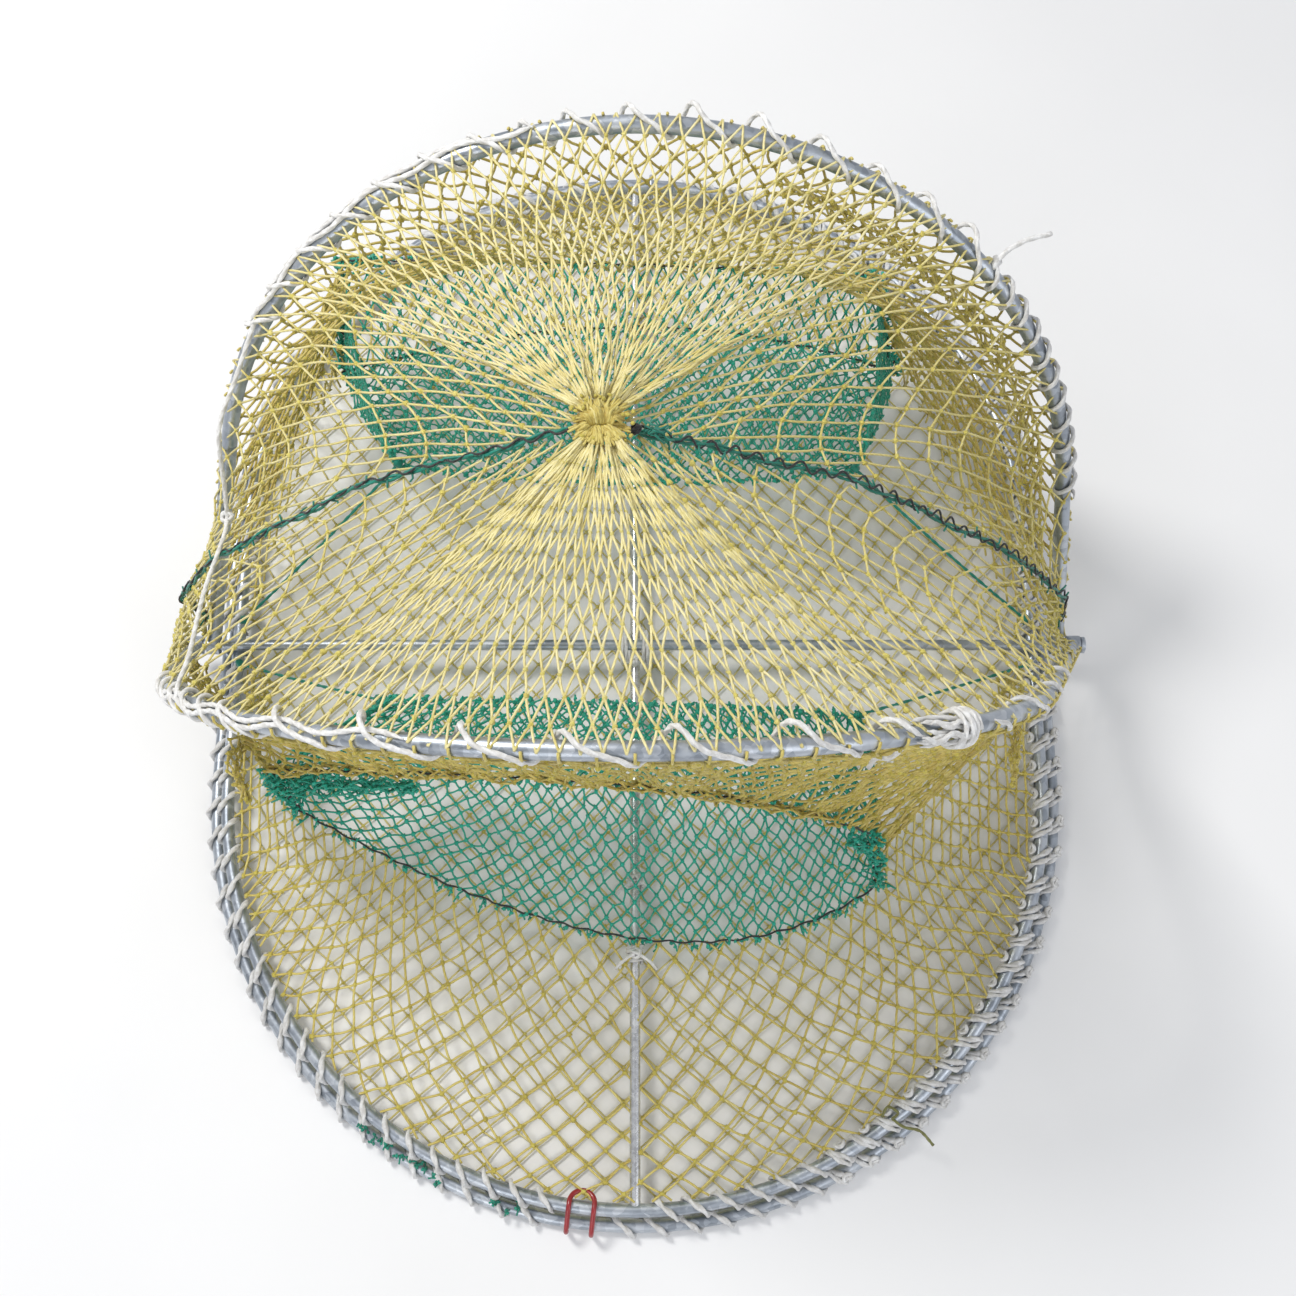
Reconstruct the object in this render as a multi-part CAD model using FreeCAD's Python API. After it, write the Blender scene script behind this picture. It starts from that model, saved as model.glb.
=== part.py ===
import FreeCAD, Part
import math
import os

# Folding oval fish and crab trap. +X runs along the hinge crossbar, -Y is the front entrance,
# +Z is up. The origin is on the ground under the middle of the frame. Millimetres throughout.

# ---- driving dimensions -------------------------------------------------------------------
RING_R = 225.0          # half width of the upper (body) ring, at the rod's centre
RING_STRAIGHT = 75.0    # half length of the ring's straight sides
RING_ROD = 3.5          # ring rod radius
RING_Z = 13.5           # height of the upper ring
FLOOR_GROW = 8.0        # how much wider all round the floor ring is
FLOOR_Z = 3.5           # height of the floor ring, its rod touches the ground
CORD = 1.3              # radius of the white lashing cord
WRAP_GAP = 0.05         # air between a lashing turn and its rod
HINGE_Z = 22.6          # height of the crossbar, which is the arches' hinge pin
BAR_ROD = 3.0           # crossbar radius
BAR_END = 250.6         # half length of the crossbar
EYE_R, EYE_ROD = 6.05, 2.5   # crossbar eye bent round the ring's side rod
LONG_ROD = 2.8          # radius of the rod that runs front to back
ARCH_ROD = 4.0          # arch rod radius
ARCH_LEN = 304.0        # from the hinge to the top of an arch
FRONT_X = 246.0         # where the front arch's legs stand
BACK_X = 236.6          # where the back arch's legs stand
BEND = {FRONT_X: (230.0, 198.0), BACK_X: (208.0, 222.0)}   # radius of each arch's left and right bends
FRONT_LEAN = 24.0       # degrees ahead of upright
BACK_LEAN = 31.0        # degrees behind upright
EYE_BORE = 3.06         # arch eye on its hinge pin
EYE_WALL = 2.2
EYE_HALF = 3.4          # half width of an arch eye along the pin
KNOT = (-14.0, 15.0, 262.0)   # gather knot, measured from the hinge line
KNOT_R = 11.0
NET = 0.9               # thickness of a net panel's stand-in skin
CLIP_ROD = 1.3
CLIP_TURN = -7.0        # degrees round the front bend from the middle

os.makedirs("parts", exist_ok=True)
V = FreeCAD.Vector
made = {}


def save(name, shape):
    made[name] = shape
    shape.exportStep("parts/" + name + ".step")


def group(solids):
    return solids[0] if len(solids) == 1 else Part.makeCompound(solids)


def rod(a, b, r):
    a, b = V(*a), V(*b)
    return Part.makeCylinder(r, (b - a).Length, a, b - a)


def joined(shapes):
    out = shapes[0].fuse(shapes[1:]) if len(shapes) > 1 else shapes[0]
    out = out.removeSplitter()
    return out.Solids[0] if len(out.Solids) == 1 else out


def stadium_ring(half_w, straight, r, z):
    """A closed oval rod: two straight sides and two half round ends."""
    ends = []
    for s in (1, -1):
        section = Part.Face(Part.Wire([Part.makeCircle(r, V(s * half_w, s * straight, z), V(0, 1, 0))]))
        ends.append(section.revolve(V(0, s * straight, z), V(0, 0, 1), 180))
    back, front = ends
    sides = [rod((s * half_w, -straight, z), (s * half_w, straight, z), r) for s in (-1, 1)]
    return joined([back, front] + sides)


def stadium_stations(half_w, straight, pitch):
    """Evenly spaced (x, y, tangent x, tangent y) round the oval, anticlockwise from the right side's middle."""
    total = 4 * straight + 2 * math.pi * half_w
    n = int(round(total / pitch))
    out = []
    for i in range(n):
        s = (i + 0.5) * total / n
        out.append(stadium_at(half_w, straight, s))
    return out


def stadium_at(half_w, straight, s):
    arc = math.pi * half_w
    if s < straight:
        return half_w, s, 0.0, 1.0
    s -= straight
    if s < arc:
        a = s / half_w
        return half_w * math.cos(a), straight + half_w * math.sin(a), -math.sin(a), math.cos(a)
    s -= arc
    if s < 2 * straight:
        return -half_w, straight - s, 0.0, -1.0
    s -= 2 * straight
    if s < arc:
        a = math.pi + s / half_w
        return half_w * math.cos(a), -straight + half_w * math.sin(a), -math.sin(a), math.cos(a)
    s -= arc
    return half_w, -straight + s, 0.0, 1.0


def wrap(at, along, core, cord=CORD):
    """One turn of lashing cord round a rod of radius core."""
    return Part.makeTorus(core + WRAP_GAP + cord, cord, V(*at), V(*along))


# ---- floor frame --------------------------------------------------------------------------
floor_w = RING_R + FLOOR_GROW
save("floor_ring", stadium_ring(floor_w, RING_STRAIGHT, RING_ROD, FLOOR_Z))


def stadium_plate(half_w, straight, z, thick):
    mid = Part.makeBox(2 * half_w, 2 * straight, thick, V(-half_w, -straight, z))
    ends = [Part.makeCylinder(half_w, thick, V(0, s * straight, z)) for s in (-1, 1)]
    return joined([mid] + ends)


save("floor_net", stadium_plate(floor_w - RING_ROD - 3.1, RING_STRAIGHT, 0.8, 1.2))


def clear_of(x, y, spots):
    return all(math.hypot(x - sx, y - sy) > gap for sx, sy, gap in spots)


clip_a = math.radians(CLIP_TURN)
clip_mid = (RING_R * math.sin(clip_a), -RING_STRAIGHT - RING_R * math.cos(clip_a))
LOOP_X = (-22.0, -10.0, 10.0, 22.0)
floor_gaps = [(clip_mid[0] * 1.03, clip_mid[1] - FLOOR_GROW, 16.0), (0, 308, 30.0), (floor_w, 0, 10.5), (-floor_w, 0, 10.5)]
ground = Part.makeBox(1400, 1400, 40, V(-700, -700, -40))
turns = []
for x, y, tx, ty in stadium_stations(floor_w, RING_STRAIGHT, 16.5):
    if clear_of(x, y, floor_gaps):
        t = wrap((x, y, FLOOR_Z), (tx, ty, 0), RING_ROD).cut(ground)
        turns.append(t.Solids[0])
save("floor_lashing", group(turns))

# Hinge loops: each is a ring round the upper rod, on a stem welded to the floor ring's top.
# They are the pivot of the floor frame at the back.
loops = []
for x in LOOP_X:
    y_up = RING_STRAIGHT + math.sqrt(RING_R ** 2 - x ** 2)
    y_low = RING_STRAIGHT + math.sqrt(floor_w ** 2 - x ** 2)
    ring = Part.makeTorus(RING_ROD + 1.9 + 1.2, 1.2, V(x, 300.0, RING_Z), V(1, 0, 0))
    dy, dz = y_low - 300.0, FLOOR_Z - RING_Z
    d = math.hypot(dy, dz)
    stem = rod((x, 300.0 + dy * 6.6 / d, RING_Z + dz * 6.6 / d), (x, y_low - dy * 2.2 / d, FLOOR_Z - dz * 2.2 / d), 1.2)
    loops.append(joined([ring, stem]))
save("hinge_loops", group(loops))

# ---- body frame ---------------------------------------------------------------------------
save("body_ring", stadium_ring(RING_R, RING_STRAIGHT, RING_ROD, RING_Z))

bar = rod((-BAR_END, 0, HINGE_Z), (BAR_END, 0, HINGE_Z), BAR_ROD)
eyes = [Part.makeTorus(EYE_R + 0.03, EYE_ROD, V(s * RING_R, 0, RING_Z), V(0, 1, 0)) for s in (-1, 1)]
heads = [rod((s * (BAR_END - 0.5), 0, HINGE_Z), (s * (BAR_END + 1.6), 0, HINGE_Z), 4.6) for s in (-1, 1)]
save("crossbar", joined([bar] + eyes + heads))
long_end = RING_STRAIGHT + RING_R - RING_ROD + 1.5
save("long_rod", rod((0, -long_end, RING_Z), (0, long_end, RING_Z), LONG_ROD))

body_gaps = [
    (clip_mid[0], clip_mid[1], 14.5),
    (0, -300, 5.5), (0, 300, 30.0),
    (RING_R, 0, 5.5), (-RING_R, 0, 5.5),
]
turns = []
for x, y, tx, ty in stadium_stations(RING_R, RING_STRAIGHT, 15.0):
    if clear_of(x, y, body_gaps):
        turns.append(wrap((x, y, RING_Z), (tx, ty, 0), RING_ROD))
save("body_lashing", group(turns))

# Cord tie where the two rods cross: two turns round the rods and a small knot on top.
tie = [
    Part.makeTorus(8.95, 1.3, V(6.0, 0, RING_Z + 4.6), V(1, 0.0, 0)),
    Part.makeTorus(8.95, 1.3, V(-6.0, 0, RING_Z + 4.6), V(1, 0.0, 0)),
]
tie_knot = Part.makeSphere(3.4, V(0, -8.6, RING_Z + 8.0))
tie_link = rod((-6.0, -8.6, RING_Z + 5.6), (6.0, -8.6, RING_Z + 5.6), 1.3)
save("rod_cross_tie", joined(tie + [tie_link, tie_knot]))

# ---- front and back funnels: stand-in skins of the netting ---------------------------------


def skin(rows, thick):
    """A closed thin solid over a grid of points: rows[i][j]. Half its thickness lies each side of the grid."""
    n, m = len(rows), len(rows[0])
    p = [[V(*q) for q in r] for r in rows]
    nor = [[V(0, 0, 0) for _ in range(m)] for _ in range(n)]
    tris = []
    for i in range(n - 1):
        for j in range(m - 1):
            for t in (((i, j), (i + 1, j), (i + 1, j + 1)), ((i, j), (i + 1, j + 1), (i, j + 1))):
                a, b, c = (p[u][w] for u, w in t)
                cr = (b - a).cross(c - a)
                if cr.Length < 1e-3:
                    continue
                tris.append(t)
                for u, w in t:
                    nor[u][w] = nor[u][w] + cr
    top, low = {}, {}
    for i in range(n):
        for j in range(m):
            v = nor[i][j]
            v = v.normalize() if v.Length > 1e-9 else V(0, 0, 1)
            top[i, j] = p[i][j] + v * (thick / 2)
            low[i, j] = p[i][j] - v * (thick / 2)
    faces = []
    edge = {}

    def tri(a, b, c):
        if (b - a).cross(c - a).Length > 1e-6:
            faces.append(Part.Face(Part.makePolygon([a, b, c, a])))

    for t in tris:
        tri(*(top[k] for k in t))
        tri(*(low[k] for k in reversed(t)))
        for a, b in ((t[0], t[1]), (t[1], t[2]), (t[2], t[0])):
            edge[a, b] = edge.get((a, b), 0) + 1
    for a, b in list(edge):
        if (b, a) not in edge:
            tri(top[a], low[b], top[b])
            tri(top[a], low[a], low[b])
    shell = Part.makeShell(faces)
    solid = Part.makeSolid(shell)
    if solid.Volume < 0:
        solid.reverse()
    if not solid.isValid() or not shell.isClosed():
        print("skin is not a closed valid solid")
    return solid


def arch_side(side_x, sign):
    """One side of an arch: bend radius, height of the bend's centre, angle and height where the straight leg
    meets the bend, and the leg's length. The leg leans inwards from its foot and runs on into the bend."""
    r = BEND[side_x][0 if sign < 0 else 1]
    top = ARCH_LEN - r
    far = math.hypot(side_x, top)
    ang = math.acos(r / far) - math.atan2(top, side_x)
    return r, top, ang, math.sqrt(far ** 2 - r ** 2)


def arch_point(side_x, lean, s, inset=0.0):
    """A point of an arch's centre line, s from -1 (left hinge) to 1 (right hinge), measured from the hinge
    line and moved inset inwards. lean is signed: ahead of upright is negative."""
    sign = -1 if s < 0 else 1
    r, top, ang, leg = arch_side(side_x, sign)
    d = (1 - abs(s)) * (leg + r * (math.pi / 2 - ang))
    if d <= leg:
        x = side_x - d * math.sin(ang) - inset * math.cos(ang)
        h = d * math.cos(ang) - inset * math.sin(ang)
    else:
        a = ang + (d - leg) / r
        x, h = (r - inset) * math.cos(a), top + (r - inset) * math.sin(a)
    b = math.radians(lean)
    return sign * x, h * math.sin(b), h * math.cos(b)


def seam_point(s):
    """The seam cord over the top, from the left hinge (-1) over the gather knot to the right hinge (1)."""
    half = [(0.0, 1.0), (0.15, 0.93), (0.45, 0.785), (0.80, 0.46), (0.955, 0.24), (0.985, 0.10)]
    a = abs(s)
    i = min(int(a * 5), 4)
    f = a * 5 - i
    u = half[i][0] + (half[i + 1][0] - half[i][0]) * f
    w = half[i][1] + (half[i + 1][1] - half[i][1]) * f
    x = KNOT[0] * (1 - u) + (236.0 if s > 0 else -236.0) * u
    return x, KNOT[1] * (0.3 + 0.7 * w), KNOT[2] * w


def raised(q):
    return q[0], q[1], q[2] + HINGE_Z


def mix(a, b, t):
    return tuple(x + (y - x) * t for x, y in zip(a, b))


# Each funnel line runs left, middle, right, measured from the hinge line.
LINES = {
    "front": {
        "sill": ((-178, -98, 26), (0, -162, -4.6), (128, -136, 12)),      # lower edge, tied to the long rod
        "lip": ((-131, -49, 62), (0, -52, 66), (116, -56, 60)),           # inner end of the ramp
        "brow": ((-187, -84, 60), (10, -100, 92), (121, -116, 50)),       # upper panel meets the roof
        "roof": ((-122, -50, 76), (0, -54, 80), (108, -58, 74)),          # inner end of the roof
    },
    "back": {
        "sill": ((-168, 158, 20), (0, 200, -4.6), (150, 160, 16)),
        "lip": ((-127, 82, 62), (0, 71, 66), (118, 80, 60)),
        "brow": ((-165, 206, 62), (0, 187, 90), (135, 197, 60)),
        "roof": ((-131, 86, 76), (0, 75, 80), (122, 84, 74)),
    },
}


def line_at(word, key, t):
    """A point of a funnel line, t from -1 at its left end to 1 at its right end."""
    lf, c, r = LINES[word][key]
    return tuple(m + t * (q - p) / 2 + t * t * ((q + p) / 2 - m) for p, m, q in zip(lf, c, r))


def mouth_side(word, sign, f):
    """A point of the mouth's side, f from 0 at the sill to 1 at the brow."""
    return mix(line_at(word, "sill", sign), line_at(word, "brow", sign), f)


def ring_rim(s, side, inset, z):
    """A point just inside the upper ring, s from -1 at the left hinge, round one end, to 1 at the right hinge."""
    w = RING_R - inset
    lead = 14.0
    total = 2 * (RING_STRAIGHT - lead) + math.pi * w
    d = (s + 1) / 2 * total
    if d <= RING_STRAIGHT - lead:
        return -w, side * (lead + d), z
    if d >= total - (RING_STRAIGHT - lead):
        return w, side * (lead + total - d), z
    a = math.pi - (d - (RING_STRAIGHT - lead)) / w
    return w * math.cos(a), side * (RING_STRAIGHT + w * math.sin(a)), z


N = 13
ts = [-1 + 2 * k / (N - 1) for k in range(N)]
for side, word in ((-1, "front"), (1, "back")):
    # lower panel: from the ring to the sill and half way up the mouth's sides
    rows = []
    for k in (0.0, 0.25, 0.5, 0.75, 1.0):
        row = []
        for t in [-1 + 2 * j / 20 for j in range(21)]:
            a = ring_rim(t, side, 9.0, -4.8)
            if abs(t) <= 0.75:
                b = line_at(word, "sill", t / 0.75)
            else:
                b = mouth_side(word, math.copysign(1, t), (abs(t) - 0.75) / 0.25 * 0.4)
            q = mix(a, b, 0.97 * k)
            row.append(raised(q))
        rows.append(row)
    save(word + "_lower_net", skin(rows, NET))
    # ramp and roof of the funnel
    ramp = [[raised(mix(line_at(word, "sill", t), line_at(word, "lip", t), k)) for t in ts] for k in (0.04, 0.35, 0.7, 1.0)]
    save(word + "_funnel_ramp", skin(ramp, NET))
    roof = [[raised(mix(line_at(word, "brow", t), line_at(word, "roof", t), k)) for t in ts] for k in (0.05, 0.5, 1.0)]
    save(word + "_funnel_roof", skin(roof, NET))
    # black thread along the sill
    pts = [raised(line_at(word, "sill", t)) for t in ts]
    thread = joined([rod(a, b, 0.7) for a, b in zip(pts, pts[1:])] + [Part.makeSphere(0.7, V(*q)) for q in pts[1:-1]])
    thread.translate(V(0, side * -0.2, 1.5))
    save(word + "_sill_thread", thread)
    # knot that ties the sill to the long rod
    y = LINES[word]["sill"][1][1]
    knot = joined([
        Part.makeTorus(LONG_ROD + 0.06 + 1.3, 1.3, V(0, y + side * 5.0, RING_Z), V(0, 1, 0)),
        Part.makeTorus(LONG_ROD + 0.06 + 1.3, 1.3, V(0, y + side * 7.4, RING_Z), V(0, 1, 0)),
        Part.makeSphere(3.2, V(0, y + side * 6.2, RING_Z + 6.6)),
    ])
    save(word + "_sill_tie", knot)
    # stays that hold the funnel's inner corners out to the hinges
    stays = []
    for e in (-1, 1):
        a = raised(line_at(word, "lip", e))
        a = (a[0] + e * 2.5, a[1], a[2])
        stays.append(rod(a, (e * 213.0, side * 14.0, HINGE_Z + 8.0), 0.8))
    save(word + "_funnel_stays", group(stays))

# ---- arches ---------------------------------------------------------------------------------


def arch(side_x, lean):
    parts = []
    for s in (-1, 1):
        r, top, ang, leg = arch_side(side_x, s)
        x, h = s * r * math.cos(ang), top + r * math.sin(ang)
        along = V(-s * math.sin(ang), 0, math.cos(ang))
        section = Part.Face(Part.Wire([Part.makeCircle(ARCH_ROD, V(x, 0, h), along)]))
        parts.append(section.revolve(V(0, 0, top), V(0, -s, 0), 90 - math.degrees(ang)))
        foot = V(s * side_x, 0, 0) + along * (EYE_BORE + 0.8)
        parts.append(rod(tuple(foot), (x, 0, h), ARCH_ROD))
        parts.append(rod((s * side_x - EYE_HALF, 0, 0), (s * side_x + EYE_HALF, 0, 0), EYE_BORE + EYE_WALL))
    solid = joined(parts)
    for s in (-1, 1):
        solid = solid.cut(rod((s * side_x - 6, 0, 0), (s * side_x + 6, 0, 0), EYE_BORE))
    solid = solid.Solids[0]
    solid.rotate(V(0, 0, 0), V(1, 0, 0), -lean)
    solid.translate(V(0, 0, HINGE_Z))
    return solid


save("front_arch", arch(FRONT_X, -FRONT_LEAN))
save("back_arch", arch(BACK_X, BACK_LEAN))


def arch_wraps(side_x, lean, pitch, low=0.26):
    total = sum(leg + r * (math.pi / 2 - ang) for r, top, ang, leg in (arch_side(side_x, -1), arch_side(side_x, 1)))
    n = int(total / pitch)
    out = []
    for i in range(n + 1):
        s = -1 + 2 * (i + 0.5) / (n + 1)
        if abs(s) > 1 - low:
            continue
        a = arch_point(side_x, lean, s - 0.001)
        b = arch_point(side_x, lean, s + 0.001)
        p = raised(arch_point(side_x, lean, s))
        out.append(wrap(p, tuple(q - r for q, r in zip(b, a)), ARCH_ROD))
    return out


save("front_arch_lashing", group(arch_wraps(FRONT_X, -FRONT_LEAN, 37.0)))
save("back_arch_lashing", group(arch_wraps(BACK_X, BACK_LEAN, 27.0)))

# upper panels: from the arch down to the funnel's brow, and the top net between the arches
M = 21
ss = [-1 + 2 * k / (M - 1) for k in range(M)]
for side, word, side_x, lean in ((-1, "front", FRONT_X, -FRONT_LEAN), (1, "back", BACK_X, BACK_LEAN)):
    rows = []
    for k in (0.0, 0.33, 0.66, 1.0):
        row = []
        for s in ss:
            a = arch_point(side_x, lean, s * 0.92, inset=8.8)
            if abs(s) <= 0.8:
                b = line_at(word, "brow", s / 0.8)
            else:
                b = mouth_side(word, math.copysign(1, s), 1 - (abs(s) - 0.8) / 0.2 * 0.4)
            q = mix(a, b, 0.03 + 0.93 * k)
            row.append(raised((q[0], q[1] + side * 2.0, q[2])))
        rows.append(row)
    save(word + "_upper_net", skin(rows, NET))
    rows = []
    for k in (0.0, 0.3, 0.6, 0.85, 1.0):
        row = []
        for s in ss:
            a = arch_point(side_x, lean, s * 0.92, inset=8.8)
            b = seam_point(math.copysign(max(0.0, (abs(s) - 0.25) / 0.75) ** 1.2, s) * 0.95)
            q = mix(a, b, 0.02 + 0.93 * k)
            d = math.dist(q, KNOT)
            if d < KNOT_R + 3.5:
                g = (KNOT_R + 3.5) / max(d, 1e-6)
                q = tuple(c + (v - c) * g for v, c in zip(q, KNOT))
            row.append(raised((q[0], q[1] + side * 2.6, q[2])))
        rows.append(row)
    save("top_net_" + word, skin(rows, NET))

# ---- gather knot and seam -------------------------------------------------------------------
knot = joined([
    Part.makeSphere(KNOT_R, V(*raised(KNOT))),
    Part.makeTorus(KNOT_R - 1.2, 2.2, V(*raised(KNOT)), V(0.2, 0.1, 1)),
])
save("gather_knot", knot)


def seam(offset, r, name):
    out = []
    for sgn in (-1, 1):
        pts = []
        for k in range(12):
            s = sgn * (0.14 + 0.84 * k / 11)
            x, y, z = raised(seam_point(s))
            pts.append((x, y + offset, z + 2.4))
        out.append(joined([rod(a, b, r) for a, b in zip(pts, pts[1:])] + [Part.makeSphere(r, V(*q)) for q in pts[1:-1]]))
    save(name, group(out))


seam(-1.2, 1.0, "seam_cord")
seam(1.3, 0.7, "seam_thread")

# ---- side cord: from the back arch's lashing down to the front arch's corner ----------------
side_top = raised(arch_point(BACK_X, BACK_LEAN, -0.50, inset=9.0))
side_low = raised(arch_point(FRONT_X, -FRONT_LEAN, -0.80, inset=0.0))
side_knot = (-214.0, 36.0, HINGE_Z + 118.0)
save("side_stay_back", rod((side_top[0] - 6, side_top[1] - 6, side_top[2] - 3), side_knot, 1.3))
save("side_stay_front", rod((side_knot[0] - 1.2, side_knot[1] - 4.2, side_knot[2] - 4.4), (side_low[0] - 3, side_low[1] + 9, side_low[2] + 4), 1.3))

# ---- release clip ---------------------------------------------------------------------------
turn_r = RING_ROD + 0.35 + CLIP_ROD
leg_v = FLOOR_GROW + RING_ROD + 0.35 + CLIP_ROD
a1 = math.radians(60)
p_arc = (turn_r * math.cos(a1), turn_r * math.sin(a1))
slope = (math.sin(a1), -math.cos(a1))
length = (leg_v - p_arc[0]) / slope[0]
corner = (leg_v, p_arc[1] + slope[1] * length)


def clip_pt(u, v, z):
    """u along the ring's tangent, v outwards, z up, all from the ring rod's centre at the clip."""
    c, s = math.cos(clip_a), math.sin(clip_a)
    ox, oy = clip_mid
    # outward direction is (sin a, -cos a); tangent is (cos a, sin a)
    return V(ox + u * c + v * s, oy + u * s - v * c, RING_Z + z)


HALF_U = 6.5
pieces = []
for u in (-HALF_U, HALF_U):
    a0, a_end = math.radians(120), a1
    pts = []
    e1 = Part.Arc(clip_pt(u, turn_r * math.cos(a0), turn_r * math.sin(a0)),
                  clip_pt(u, turn_r * math.cos((a0 + a_end) / 2), turn_r * math.sin((a0 + a_end) / 2)),
                  clip_pt(u, *p_arc)).toShape()
    fil = 3.0
    q1 = (corner[0] - slope[0] * fil, corner[1] - slope[1] * fil)
    q2 = (corner[0], corner[1] - fil)
    # centre of the corner arc tangent to both lines
    ang = math.atan2(slope[1], slope[0])
    half_turn = (math.radians(-90) - ang) / 2
    rad = fil / math.tan(abs(half_turn))
    cx, cz = corner[0] - rad, corner[1] - fil
    am = (ang + math.radians(90) + 0.0) / 2
    mid = (cx + rad * math.cos(am), cz + rad * math.sin(am))
    e2 = Part.LineSegment(clip_pt(u, *p_arc), clip_pt(u, *q1)).toShape()
    e3 = Part.Arc(clip_pt(u, *q1), clip_pt(u, *mid), clip_pt(u, *q2)).toShape()
    e4 = Part.LineSegment(clip_pt(u, *q2), clip_pt(u, leg_v, -10.6)).toShape()
    wire = Part.Wire([e1, e2, e3, e4])
    start = clip_pt(u, turn_r * math.cos(a0), turn_r * math.sin(a0))
    tan = clip_pt(u, turn_r * math.cos(a0) + math.sin(a0) * -1, turn_r * math.sin(a0) + math.cos(a0)) - start
    ring = Part.Wire([Part.makeCircle(CLIP_ROD, start, tan)])
    pieces.append(wire.makePipeShell([ring], True, True))
b0 = math.radians(120)
end_v, end_z = turn_r * math.cos(b0), turn_r * math.sin(b0)
# closed end of the U: a half turn between the two legs
mid_v, mid_z = end_v - HALF_U * math.sin(b0), end_z + HALF_U * math.cos(b0)
bend = Part.Arc(clip_pt(-HALF_U, end_v, end_z),
                clip_pt(0, mid_v, mid_z),
                clip_pt(HALF_U, end_v, end_z)).toShape()
start = clip_pt(-HALF_U, end_v, end_z)
d0 = clip_pt(0, math.sin(b0) * 1, -math.cos(b0) * 1) - clip_pt(0, 0, 0)
pieces.append(Part.Wire([bend]).makePipeShell([Part.Wire([Part.makeCircle(CLIP_ROD, start, d0)])], True, True))
clip = joined(pieces)
save("release_clip", clip)

print("tops: front", raised(arch_point(FRONT_X, -FRONT_LEAN, 0)), "back", raised(arch_point(BACK_X, BACK_LEAN, 0)))
for name, shape in made.items():
    b = shape.BoundBox
    print(f"{name:22s} solids {len(shape.Solids):3d} valid {shape.isValid()} vol {shape.Volume:10.1f}  "
          f"x {b.XMin:7.1f} {b.XMax:7.1f}  y {b.YMin:7.1f} {b.YMax:7.1f}  z {b.ZMin:6.1f} {b.ZMax:6.1f}")
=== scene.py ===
import math
import bpy
import numpy as np
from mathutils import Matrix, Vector


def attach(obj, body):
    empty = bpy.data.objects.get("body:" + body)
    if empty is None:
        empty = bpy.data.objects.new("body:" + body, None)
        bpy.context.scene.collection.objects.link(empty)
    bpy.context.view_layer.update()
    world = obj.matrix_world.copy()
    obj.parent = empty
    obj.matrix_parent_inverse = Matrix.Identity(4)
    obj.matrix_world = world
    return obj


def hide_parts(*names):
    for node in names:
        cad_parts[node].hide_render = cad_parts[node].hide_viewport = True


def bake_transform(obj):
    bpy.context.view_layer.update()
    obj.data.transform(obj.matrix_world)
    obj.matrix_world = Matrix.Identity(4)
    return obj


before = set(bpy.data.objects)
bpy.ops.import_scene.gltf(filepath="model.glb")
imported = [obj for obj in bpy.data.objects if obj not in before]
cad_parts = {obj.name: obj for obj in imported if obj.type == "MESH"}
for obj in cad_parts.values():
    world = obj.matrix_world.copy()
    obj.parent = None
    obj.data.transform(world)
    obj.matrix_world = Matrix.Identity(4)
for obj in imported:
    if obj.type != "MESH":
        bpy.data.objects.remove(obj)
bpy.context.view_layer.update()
rng = np.random.default_rng(11)

# ---- sizes, as in the CAD model: millimetres, heights from the ground unless said -------------------
RING_R, RING_STRAIGHT, RING_ROD, RING_Z = 225.0, 75.0, 3.5, 13.5
FLOOR_R, FLOOR_Z = 233.0, 3.5
HZ = 22.6                      # height of the hinge line
LONG_ROD = 2.8
ARCH_ROD, ARCH_LEN = 4.0, 304.0
SIDE_X = {"front": 246.0, "back": 236.6}
BEND = {"front": (230.0, 198.0), "back": (208.0, 222.0)}    # radius of the left and right bends
LEAN = {"front": -24.0, "back": 31.0}
KNOT = np.array([-14.0, 15.0, 262.0])
TWINE = 0.68                   # radius of the yellow netting twine
GREEN = 0.50                   # radius of the green netting thread
SIDE = {"front": -1.0, "back": 1.0}

LINES = {
    "front": {
        "sill": ((-178, -98, 26), (0, -162, -4.6), (128, -136, 12)),
        "lip": ((-131, -49, 62), (0, -52, 66), (116, -56, 60)),
        "brow": ((-187, -84, 60), (10, -100, 92), (121, -116, 50)),
        "roof": ((-122, -50, 76), (0, -54, 80), (108, -58, 74)),
    },
    "back": {
        "sill": ((-168, 158, 20), (0, 200, -4.6), (150, 160, 16)),
        "lip": ((-127, 82, 62), (0, 71, 66), (118, 80, 60)),
        "brow": ((-165, 206, 62), (0, 187, 90), (135, 197, 60)),
        "roof": ((-131, 86, 76), (0, 75, 80), (122, 84, 74)),
    },
}


# ---- mesh making ------------------------------------------------------------------------------------
def unit(a):
    return a / np.maximum(np.linalg.norm(a, axis=-1, keepdims=True), 1e-9)


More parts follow.
